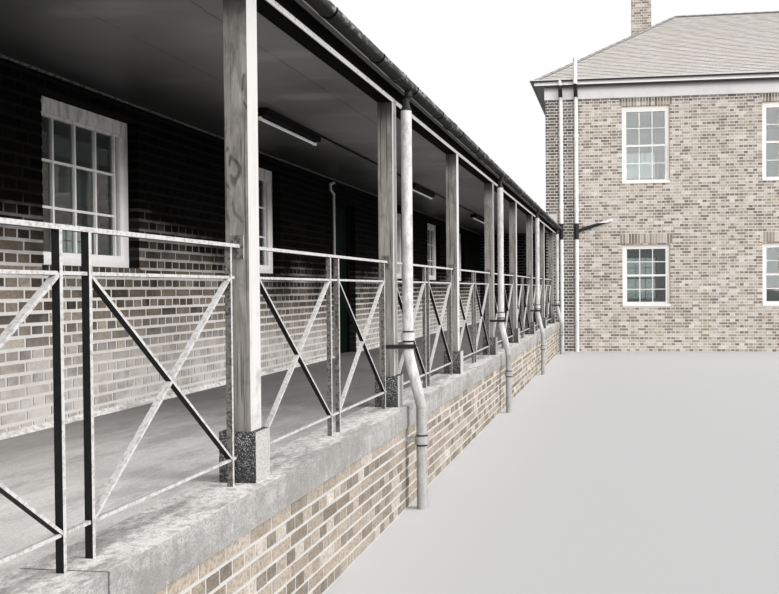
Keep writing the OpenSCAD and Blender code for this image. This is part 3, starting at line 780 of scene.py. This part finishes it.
NODE_MATERIALS = {
    corridor_mortar: ["corridor_wall_near", "corridor_wall_far", "corridor_wall_over_door"],
    wing_mortar: ["plinth_wall", "wing_rear_wall"],
    end_mortar: ["wing_end_walls"],
    block_mortar: ["block_front_wall", "block_back_wall", "block_left_wall", "block_right_wall", "chimney"],
    coping_concrete: ["coping"],
    floor_concrete: ["verandah_floor", "door_step"],
    stool_concrete: ["post_bases"],
    floor_boards: ["wing_floor", "block_floors"],
    post_timber: ["posts"],
    dark_paint: ["eaves_beam", "door_frame"],
    white_paint: ["block_windows"],
    window_paint: ["wing_windows"],
    fascia_paint: ["wing_fascia"],
    eaves_paint: ["block_eaves_boards"],
    frieze_paint: ["block_frieze"],
    ceiling_paint: ["ceiling"],
    gutter_paint: ["wing_gutter"],
    pipe_paint: ["verandah_downpipes"],
    pale_pipe_paint: ["block_rain_pipe", "soil_pipe"],
    wall_pipe_paint: ["wall_pipe"],
    gutter_white: ["block_gutter"],
    railing_paint: ["railing_%d" % k for k in range(1, BAYS + 1)] + ["end_railing"],
    roof_tiles: ["wing_roof", "block_roof"],
    glass: ["wing_glass", "block_glass"],
    door_paint: ["door"],
    worn_brass: ["door_handles", "door_hinges", "frame_hinges"],
    lamp_paint: ["ceiling_lights"],
}


def dress_nodes():
    for made, names in NODE_MATERIALS.items():
        for name in names:
            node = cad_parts[name]
            if not node.material_slots:
                node.data.materials.append(made)
            for slot in node.material_slots:
                slot.material = made


dress_nodes()


# Brickwork

corridor_windows = [DOOR_X + n * OPENING_PITCH for n in range(-3, 4) if n != 0]
rear_windows = [DOOR_X + n * OPENING_PITCH for n in range(-3, 7)]
end_windows = [(WALL_Y + WING_D) / 2 + side * OPENING_PITCH / 2 for side in (-1, 1)]
block_mid_y = (BLOCK_LOW + BLOCK_Y) / 2
block_mid_x = (WING_LEN + BLOCK_END) / 2
block_long = [block_mid_y + n * BLOCK_WIN_PITCH for n in (-1, 0, 1)]
block_short = [block_mid_x + side * BLOCK_WIN_PITCH / 2 for side in (-1, 1)]
WING_SIZES = [(WIN_Z, WIN_H, WIN_W)]
BLOCK_SIZES = [(*LOW_WIN, BLOCK_WIN_W), (*UP_WIN, BLOCK_WIN_W)]


def brick_wall(name, face, length, z0, z1, holes, finish, ends=("corner", "corner"), arched=True, sill=0.0,
               joint=JOINT):
    """One wall face of bricks, with a flat arch over each window and a sill of bricks on edge under it."""
    arch_bearing = 0.06
    sill_bearing = 0.02
    over = []
    for a0, a1, _, h1 in holes:
        if arched and h1 + ARCH_H < z1 + 0.02:
            top = min(z1, round((h1 + ARCH_H) / COURSE) * COURSE)
            over.append((a0 - arch_bearing, a1 + arch_bearing, h1, top))
    under = [(a0 - sill_bearing, a1 + sill_bearing, h0 - sill, h0) for a0, a1, h0, _ in holes
             if sill and h0 > z0 + sill]
    heap = Heap()
    lay_bricks(heap, face, length, z0, z1, list(holes) + over + under, ends, joint)
    for a0, a1, h0, h1 in over:
        soldier_course(heap, face, a0, a1, h0 - 0.004, h1 - joint / 2)
    for a0, a1, h0, h1 in under:
        soldier_course(heap, face, a0, a1, h0 + joint / 2, h1 + 0.003)
    heap.make(name, *finish)


def wing_walls():
    """Brick faces of the wing, its plinth and the verandah's end."""
    plain = (wing_brick, "brick")
    painted_shade = (corridor_brick, "brick")
    depth = WING_D - WALL_Y
    corridor_holes = window_holes(corridor_windows, WING_SIZES) + [(DOOR_LO, DOOR_HI, FLOOR_Z, DOOR_TOP)]
    near_holes = window_holes([WING_D - y for y in end_windows], WING_SIZES)
    rear_holes = window_holes([BLOCK_END - x for x in rear_windows], WING_SIZES)
    far_holes = window_holes([y - BLOCK_Y for y in end_windows], WING_SIZES)
    brick_wall("corridor_bricks", Face(0, WALL_Y, FRONT), WING_LEN, FLOOR_Z, CEILING_Z, corridor_holes,
               painted_shade, ("corner", "wall"), False, SILL_H, WIDE_JOINT)
    brick_wall("verandah_end_bricks", Face(WING_LEN, WALL_Y, NEAR), WALL_Y - BLOCK_Y, FLOOR_Z, CEILING_Z, [],
               painted_shade, ("wall", "wall"))
    brick_wall("plinth_bricks", Face(0, 0, FRONT), WING_LEN, 0, PLINTH_Z, [], plain, ("corner", "wall"))
    brick_wall("plinth_end_bricks", Face(0, WALL_Y, NEAR), WALL_Y, 0, PLINTH_Z, [], plain, ("wall", "corner"))
    brick_wall("near_end_bricks", Face(0, WING_D, NEAR), depth, 0, WALL_TOP, near_holes, plain)
    brick_wall("rear_bricks", Face(BLOCK_END, WING_D, REAR), BLOCK_END, 0, WALL_TOP, rear_holes, plain)
    brick_wall("far_end_bricks", Face(BLOCK_END, BLOCK_Y, FAR), WING_D - BLOCK_Y, 0, WALL_TOP, far_holes,
               plain, ("wall", "corner"))


def block_walls():
    """Brick faces of the block; the left one starts above the wing's eaves."""
    plain = (block_brick_face, "block_brick")
    length = BLOCK_Y - BLOCK_LOW
    depth = BLOCK_END - WING_LEN
    left_foot = 3.15
    front_holes = window_holes([BLOCK_Y - y for y in block_long], BLOCK_SIZES)
    back_holes = window_holes([y - BLOCK_LOW for y in block_long], BLOCK_SIZES)
    right_holes = window_holes([x - WING_LEN for x in block_short], BLOCK_SIZES)
    left_holes = window_holes([BLOCK_END - x for x in block_short], BLOCK_SIZES[1:])
    brick_wall("block_front_bricks", Face(WING_LEN, BLOCK_Y, NEAR), length, 0, FRIEZE_Z, front_holes, plain)
    brick_wall("block_back_bricks", Face(BLOCK_END, BLOCK_LOW, FAR), length, 0, FRIEZE_Z, back_holes, plain)
    brick_wall("block_right_bricks", Face(WING_LEN, BLOCK_LOW, FRONT), depth, 0, FRIEZE_Z, right_holes, plain)
    brick_wall("block_left_bricks", Face(BLOCK_END, BLOCK_Y, REAR), depth, left_foot, FRIEZE_Z, left_holes,
               plain)


wing_walls()
block_walls()


# Roof tiles

def tile_slope(heap, start, along, up, width, rise_len, hip_in, part, low_t):
    """Courses of plain tiles on a hipped slope, from start along the eaves and up."""
    first_course = 0.06
    lap = 0.01
    side_gap = 0.0015
    sliver = 0.01
    tail, head, bed = 0.015, 0.004, -0.004
    normal = along.cross(up).normalized()
    end = width if part[1] is None else part[1]

    def limits(t):
        hip = max(0, t * hip_in)
        return max(part[0], hip), min(end, width - hip)

    def place(a, t, h):
        return start + along * a + up * t + normal * h

    for i in range(-1, int(rise_len / TILE_GAUGE)):
        t0 = i * TILE_GAUGE + first_course
        t1 = min(t0 + TILE_GAUGE + lap, rise_len)
        if t0 < low_t - TILE_GAUGE:
            continue
        offset = (i % 2) * TILE_W / 2
        low0, high0 = limits(t0)
        k = math.floor((low0 - offset) / TILE_W)
        while offset + k * TILE_W < high0:
            a0 = offset + k * TILE_W + side_gap
            a1 = offset + (k + 1) * TILE_W - side_gap
            k += 1
            edges = []
            for t, h in ((max(t0, low_t), tail), (t1, head)):
                first, last = limits(t)
                left = max(a0, first)
                edges.append((left, max(left + 0.001, min(a1, last)), t, h))
            (l0, r0, s0, h0), (l1, r1, s1, h1) = edges
            if r0 - l0 < sliver:
                continue
            lift = rng.uniform(-0.001, 0.002)
            corners = ((l0, s0, h0), (r0, s0, h0), (r1, s1, h1), (l1, s1, h1))
            low = [place(a, t, bed) for a, t, _ in corners]
            high = [place(a, t, h + lift) for a, t, h in corners]
            heap.solid(low + high, rng.random(), closed=False)


def cap_run(heap, a, b):
    """Half-round ridge or hip tiles from a to b, each lapping the next."""
    r = 0.085
    tile_len = 0.3
    lap = 0.015
    taper = 0.008
    sunk = 0.045
    sides = 6
    ahead = (b - a).normalized()
    side = ahead.cross(Vector((0, 0, 1))).normalized()
    top = side.cross(ahead)
    count = max(1, round((b - a).length / tile_len))
    step = (b - a).length / count
    for k in range(count):
        tone = rng.random()
        n = len(heap.points)
        for t, rr in ((k * step, r), ((k + 1) * step + lap, r - taper)):
            for j in range(sides + 1):
                w = math.pi * j / sides
                p = a + ahead * t + side * (rr * math.cos(w)) + top * (rr * math.sin(w) - sunk)
                heap.points.append(tuple(p))
                heap.tones.append(tone)
        for j in range(sides):
            heap.faces.append((n + j, n + j + 1, n + sides + 2 + j, n + sides + 1 + j))
        heap.faces.append(tuple(n + j for j in reversed(range(sides + 1))))


class Roof:
    """Hipped roof over a rectangle: its eaves, its pitch, and a ridge along its longer side."""

    def __init__(self, node, pitch):
        low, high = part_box(node)
        self.x0, self.y0, self.x1, self.y1 = low.x, low.y, high.x, high.y
        self.run = min(high.x - low.x, high.y - low.y) / 2
        self.eaves = high.z - self.run * math.tan(pitch)
        self.ridge = high.z
        self.pitch = pitch

    def slope(self, heap, way, part=(0.0, None), low_t=0.0):
        """Tiles of the side along a way, over part of its length and from low_t up the slope."""
        c, s = math.cos(self.pitch), math.sin(self.pitch)
        x = self.x0 if way in (FRONT, NEAR) else self.x1
        y = self.y0 if way in (FRONT, FAR) else self.y1
        up = Vector((-way[1] * c, way[0] * c, s))
        width = self.x1 - self.x0 if way[0] else self.y1 - self.y0
        foot = Vector((x, y, self.eaves)) - up * 0.02
        tile_slope(heap, foot, Vector((*way, 0)), up, width, self.run / c, c, part, low_t)

    def hips(self, along_x):
        """Lower and upper end of each hip, and the two ends of the ridge."""
        r = self.run
        far = (self.x1 - r, self.y0 + r) if along_x else (self.x0 + r, self.y1 - r)
        ends = [Vector((self.x0 + r, self.y0 + r, self.ridge)), Vector((*far, self.ridge))]
        corners = [Vector((x, y, self.eaves)) for x in (self.x0, self.x1) for y in (self.y0, self.y1)]
        return [(corner, min(ends, key=lambda e: (e - corner).length)) for corner in corners], ends


WING_PITCH = math.radians(30)
BLOCK_PITCH = math.radians(35)
wing_roof = Roof("wing_roof", WING_PITCH)
block_roof = Roof("block_roof", BLOCK_PITCH)

# The block stands in the corner of the wing's roof, whose front slope stops at the block's walls
beside = WING_LEN + CORNER.x - wing_roof.x0
behind = BLOCK_Y + CORNER.y - wing_roof.y0


def roof_slopes():
    heap = Heap()
    for way in (FRONT, REAR, NEAR, FAR):
        block_roof.slope(heap, way)
    heap.make("block_roof_tiles", roof_tiles, "tiles")
    heap = Heap()
    wing_roof.slope(heap, FRONT, (0.0, beside))
    wing_roof.slope(heap, FRONT, (beside, None), behind / math.cos(WING_PITCH) + 0.02)
    wing_roof.slope(heap, REAR)
    wing_roof.slope(heap, NEAR)
    wing_roof.slope(heap, FAR, (behind, None))
    heap.make("wing_roof_tiles", roof_tiles, "tiles")


def ridges_and_hips():
    """Cap tiles of both roofs; the wing's hip beside the block starts at the block's wall."""
    heap = Heap()
    pairs, ends = block_roof.hips(False)
    for low, high in pairs:
        cap_run(heap, low, high)
    cap_run(heap, *ends)
    heap.make("block_ridge_tiles", ridge_tiles, "tiles")
    heap = Heap()
    pairs, ends = wing_roof.hips(True)
    for low, high in pairs:
        cut = low.x > 0 and low.y < BLOCK_Y + CORNER.y
        cap_run(heap, low.lerp(high, (behind + 0.05) / wing_roof.run) if cut else low, high)
    cap_run(heap, *ends)
    heap.make("wing_ridge_tiles", ridge_tiles, "tiles")


def flashing():
    """Lead where the wing's roof meets the block."""
    lead_t = 0.012
    side_h, back_h = 0.15, 0.17
    foot_lap, back_lap, end_gap = 0.05, 0.02, 0.1
    eaves_y = wing_roof.y0 - CORNER.y
    meeting = wing_roof.eaves + behind * math.tan(WING_PITCH)
    heap = Heap()
    heap.box(WING_LEN - lead_t, WING_LEN, eaves_y, BLOCK_Y, wing_roof.eaves - foot_lap, meeting + side_h)
    heap.box(WING_LEN, BLOCK_END - end_gap, BLOCK_Y, BLOCK_Y + lead_t, meeting - back_lap, meeting + back_h)
    heap.make("roof_flashing", lead, "tiles")


roof_slopes()
ridges_and_hips()
flashing()


# Window bars and sashes

def wing_sash(heap, face):
    """Fixed sash with four columns and three rows of panes; its last bar stands close to the stile.

    The face of a sash starts below the middle of its window.
    """
    low_rail, top_rail = 0.033, 0.022
    left_stile, right_stile = 0.03, 0.035
    frame_front, top_front = BAR_FRONT - 0.012, BAR_FRONT - 0.004
    cross_inset = 0.003
    side = WIN_W / 2 - SIDE_W
    foot = WIN_Z + SIDE_W
    head = WIN_Z + WIN_H - HEAD_W
    low = foot + low_rail
    high = head - top_rail
    face.sunk(heap, -side, side, frame_front, GLASS_BACK, foot, low)
    face.sunk(heap, -side, side, top_front, GLASS_BACK, high, head)
    face.sunk(heap, side - right_stile, side, frame_front, GLASS_BACK, low, high)
    face.sunk(heap, -side, -side + left_stile, frame_front, GLASS_BACK, low, high)
    for a in BAR_PLACES:
        face.sunk(heap, a - BAR_W / 2, a + BAR_W / 2, BAR_FRONT, GLASS_BACK, low, high)
    for z in CROSS_BARS:
        middle = WIN_Z + z
        face.sunk(heap, -side + left_stile, BAR_PLACES[-1], BAR_FRONT + cross_inset,
                  GLASS_BACK - cross_inset, middle - BAR_W / 2, middle + BAR_W / 2)


def block_sash(heap, face, sill, height):
    """Pair of sliding sashes, the upper one in front, each with three columns and two rows of panes."""
    stile, low_rail, top_rail = 0.055, 0.05, 0.045
    half_meeting = 0.022
    half_bar = 0.011
    stile_depths, rail_depths = (0.0, 0.03), (0.001, 0.029)
    upright_depths, cross_depths = (0.004, 0.027), (0.006, 0.025)
    side = BLOCK_WIN_W / 2 - SIDE_W
    clear = side - stile
    foot = sill + SIDE_W
    head = sill + height - HEAD_W
    middle = (foot + head) / 2
    upper = (middle - half_meeting, head, RECESS + 0.006)
    lower = (foot, middle + half_meeting, RECESS + 0.03)

    def part(a0, a1, depths, low, high):
        face.sunk(heap, a0, a1, front + depths[0], front + depths[1], low, high)

    for z0, z1, front in (upper, lower):
        part(-side, -clear, stile_depths, z0, z1)
        part(clear, side, stile_depths, z0, z1)
        part(-clear, clear, rail_depths, z0, z0 + low_rail)
        part(-clear, clear, rail_depths, z1 - top_rail, z1)
        for a in (-clear / 3, clear / 3):
            part(a - half_bar, a + half_bar, upright_depths, z0 + low_rail, z1 - top_rail)
        z = (z0 + z1) / 2
        part(-clear, clear, cross_depths, z - half_bar, z + half_bar)


def wing_window_bars():
    heap = Heap()
    faces = [Face(x, WALL_Y, FRONT) for x in corridor_windows] + [Face(x, WING_D, REAR) for x in rear_windows]
    faces += [Face(0, y, NEAR) for y in end_windows] + [Face(BLOCK_END, y, FAR) for y in end_windows]
    for face in faces:
        wing_sash(heap, face)
    heap.make("wing_window_bars", window_paint, "painted_timber")


def block_window_bars():
    heap = Heap()
    faces = [Face(WING_LEN, y, NEAR) for y in block_long] + [Face(BLOCK_END, y, FAR) for y in block_long]
    faces += [Face(x, BLOCK_LOW, FRONT) for x in block_short]
    for face in faces:
        block_sash(heap, face, *LOW_WIN)
    for face in faces + [Face(x, BLOCK_Y, REAR) for x in block_short]:
        block_sash(heap, face, *UP_WIN)
    heap.make("block_window_bars", white_paint, "painted_timber")


wing_window_bars()
block_window_bars()


# Small trims

# The wing's trims stop just short of the block's bricks
TRIM_END = WING_LEN - 0.004


def beam_bead():
    """Bead along the foot of the eaves beam."""
    proud, sunk, bead_h = 0.006, 0.002, 0.03
    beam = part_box("eaves_beam")
    face = beam[0].y - CORNER.y
    heap = Heap()
    heap.box(beam[0].x - CORNER.x, TRIM_END, face - proud, face + sunk, BEAM_Z, BEAM_Z + bead_h)
    heap.make("beam_bead", bead_paint, "painted_timber")


def corridor_trims():
    """Cement fillet at the foot of the corridor wall and cove at its top."""
    foot_d, top_d, front_h, wall_h = 0.045, 0.012, 0.03, 0.034
    cove_x, cove_d, cove_h = 0.33, 0.02, 0.012
    heap = Heap()
    for x0, x1 in ((0.0, DOOR_LO), (DOOR_HI, WING_LEN)):
        plan = ((x0, WALL_Y - foot_d), (x1, WALL_Y - foot_d), (x1, WALL_Y), (x0, WALL_Y))
        low = [row(x, y, FLOOR_Z) for x, y in plan]
        high = [row(x, WALL_Y - top_d, FLOOR_Z + front_h) for x in (x0, x1)]
        high += [row(x, WALL_Y, FLOOR_Z + wall_h) for x in (x1, x0)]
        heap.solid(low + high)
    heap.make("floor_fillet", coping_concrete, "concrete")
    heap = Heap()
    heap.box(cove_x, TRIM_END, WALL_Y - cove_d, WALL_Y, CEILING_Z - cove_h, CEILING_Z)
    heap.make("ceiling_cove", cove_paint, "painted_timber")


def half_ring(heap, x, y, rim, r, width):
    """Band round the outside of a half-round gutter, its inner side just inside the gutter's metal."""
    sides = 8
    inner = 0.0505
    for k in range(sides):
        w0 = math.pi * (1 + k / sides)
        w1 = math.pi * (1 + (k + 1) / sides)
        corners = []
        for xx in (x - width / 2, x + width / 2):
            for rr, w in ((inner, w0), (r, w0), (r, w1), (inner, w1)):
                corners.append(row(xx, y + rr * math.cos(w), rim + rr * math.sin(w)))
        heap.solid(corners)


def gutter_places(first, pitch, clear):
    """Places along the wing, a pitch apart, that stay clear of the block."""
    x = first
    while x < WING_LEN - clear:
        yield x
        x += pitch


def gutter_fittings():
    """Unions of the verandah gutter, with a lip at each end, and its brackets, which are plain straps."""
    low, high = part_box("wing_gutter")
    gutter_r = 0.053
    band_r, lip_r = gutter_r + 0.004, gutter_r + 0.008
    union_w, lip_w, bracket_w = 0.07, 0.012, 0.02
    lip_at = 0.045
    y = low.y - CORNER.y + gutter_r
    heap = Heap()
    for x in gutter_places(1.0, 1.83, 0.4):
        half_ring(heap, x, y, high.z, band_r, union_w)
        half_ring(heap, x - lip_at, y, high.z, lip_r, lip_w)
        half_ring(heap, x + lip_at, y, high.z, lip_r, lip_w)
    heap.make("gutter_unions", gutter_paint, "gutter_paint")
    heap = Heap()
    for x in gutter_places(0.5, 0.915, 0.3):
        half_ring(heap, x, y, high.z, band_r, bracket_w)
    heap.make("gutter_brackets", dark_paint, "gutter_paint")


def chimney_bricks():
    """Brick faces of the stack above the roof, with a cap band that stands out below its top courses."""
    low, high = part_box("chimney")
    cap = 0.04
    top = 10.9
    x0, x1 = low.x - CORNER.x + cap, high.x - CORNER.x - cap
    y0, y1 = low.y - CORNER.y + cap, high.y - CORNER.y - cap
    z0 = block_roof.eaves + (block_roof.y1 - CORNER.y - y1) * math.tan(BLOCK_PITCH) - 0.05

    def sides(out):
        """The four faces, that far outside the stack, each with its length."""
        deep = y1 - y0 + 2 * out
        wide = x1 - x0 + 2 * out
        return ((Face(x0 - out, y1 + out, NEAR), deep), (Face(x0 - out, y0 - out, FRONT), wide),
                (Face(x1 + out, y0 - out, FAR), deep), (Face(x1 + out, y1 + out, REAR), wide))

    heap = Heap()
    for face, length in sides(0):
        lay_bricks(heap, face, length, z0, top - 0.23)
        lay_bricks(heap, face, length, top - 0.08, top)
    for face, length in sides(cap):
        lay_bricks(heap, face, length, top - 0.225, top - 0.085, ends=("wall", "wall"))
    heap.make("chimney_bricks", block_brick_face, "block_brick")


def door_mouldings():
    """Stiles and rails on both faces of the door's leaf, clear of the hinges' knuckles on the inner one."""
    low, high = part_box("door")
    x0, x1, y0, y1 = low.x - CORNER.x, high.x - CORNER.x, low.y - CORNER.y, high.y - CORNER.y
    edge = 0.002
    z0, z1 = low.z + edge, high.z - edge
    stile = 0.105
    half_muntin = 0.045
    knuckle_gap = 0.014
    mid = (x0 + x1) / 2
    rails = ((z0, low.z + 0.21), (low.z + 0.82, low.z + 0.98), (low.z + 1.5, low.z + 1.6),
             (high.z - 0.12, z1))
    outer = (y0 - 0.004, y0 + 0.002, edge)
    inner = (y1 - 0.002, y1 + 0.003, knuckle_gap)
    heap = Heap()
    for d0, d1, hinge_gap in (outer, inner):
        heap.box(x0 + hinge_gap, x0 + stile, d0, d1, z0, z1)
        heap.box(x1 - stile, x1 - edge, d0, d1, z0, z1)
        for a, b in rails:
            heap.box(x0 + stile, x1 - stile, d0, d1, a, b)
        for (_, a), (b, _) in zip(rails, rails[1:]):
            heap.box(mid - half_muntin, mid + half_muntin, d0, d1, a, b)
    heap.make("door_mouldings", door_paint, "door_paint", "door")


beam_bead()
corridor_trims()
gutter_fittings()
chimney_bricks()
door_mouldings()


# Stage, light and camera

def stage_floor():
    mesh = bpy.data.meshes.new("floor")
    half = 260
    corners = [(-half, -half, 0), (half, -half, 0), (half, half, 0), (-half, half, 0)]
    mesh.from_pydata(corners, [], [(0, 1, 2, 3)])
    s = Shader("floor")
    s.colour = grey(0.56)
    mesh.materials.append(s.finish(0.9))
    floor = bpy.data.objects.new("floor", mesh)
    bpy.context.scene.collection.objects.link(floor)


def sun(name, direction, strength, spread):
    """Soft parallel light that shines along a direction."""
    lamp = bpy.data.lights.new(name, "SUN")
    lamp.energy = strength
    lamp.angle = math.radians(spread)
    made = bpy.data.objects.new(name, lamp)
    made.rotation_euler = Vector(direction).to_track_quat("-Z", "Y").to_euler()
    bpy.context.scene.collection.objects.link(made)


def surroundings(strength):
    """White to the camera and in reflections, and soft light of a lower strength on matt surfaces."""
    world = bpy.data.worlds.new("surroundings")
    bpy.context.scene.world = world
    world.use_nodes = True
    s = Nodes(world.node_tree)
    path = s.node("ShaderNodeLightPath").outputs
    mirrored = s.math("MAXIMUM", path["Is Glossy Ray"], path["Is Transmission Ray"])
    seen = s.math("MAXIMUM", path["Is Camera Ray"], mirrored)
    level = s.node("ShaderNodeMapRange", {"Value": seen, "To Min": strength, "To Max": 1.0})
    back = world.node_tree.nodes["Background"]
    s.set(back.inputs["Strength"], level.outputs["Result"])
    s.set(back.inputs["Color"], (1, 1, 1, 1))


def camera():
    """Camera at the photograph's place, 1.63 m above the ground beside the verandah's near end."""
    width = 779
    place = Vector((-15.0682, 0.3251, 1.6316))
    yaw, pitch, roll = 0.1284, -0.0142, -0.0068
    focal_px = 849.01
    forward = Vector((math.cos(yaw) * math.cos(pitch), math.sin(yaw) * math.cos(pitch), math.sin(pitch)))
    right = forward.cross(Vector((0, 0, 1))).normalized()
    up = right.cross(forward)
    right, up = (right * math.cos(roll) + up * math.sin(roll), up * math.cos(roll) - right * math.sin(roll))
    data = bpy.data.cameras.new("camera")
    data.lens = focal_px / width * data.sensor_width
    data.shift_x = -0.158
    data.shift_y = 0.0041
    data.clip_end = 600
    made = bpy.data.objects.new("camera", data)
    turn = Matrix((right, up, -forward)).transposed().to_4x4()
    made.matrix_world = Matrix.Translation(place) @ turn
    bpy.context.scene.collection.objects.link(made)
    bpy.context.scene.camera = made


stage_floor()
sun("key", (0.12, 1.0, -0.42), 2.5, 28)
sun("fill", (1.0, 0.3, -0.35), 2.3, 40)
sun("sky", (0.05, 0.62, -1.0), 1.2, 40)
surroundings(0.25)
camera()
bpy.context.scene.view_settings.view_transform = "Standard"
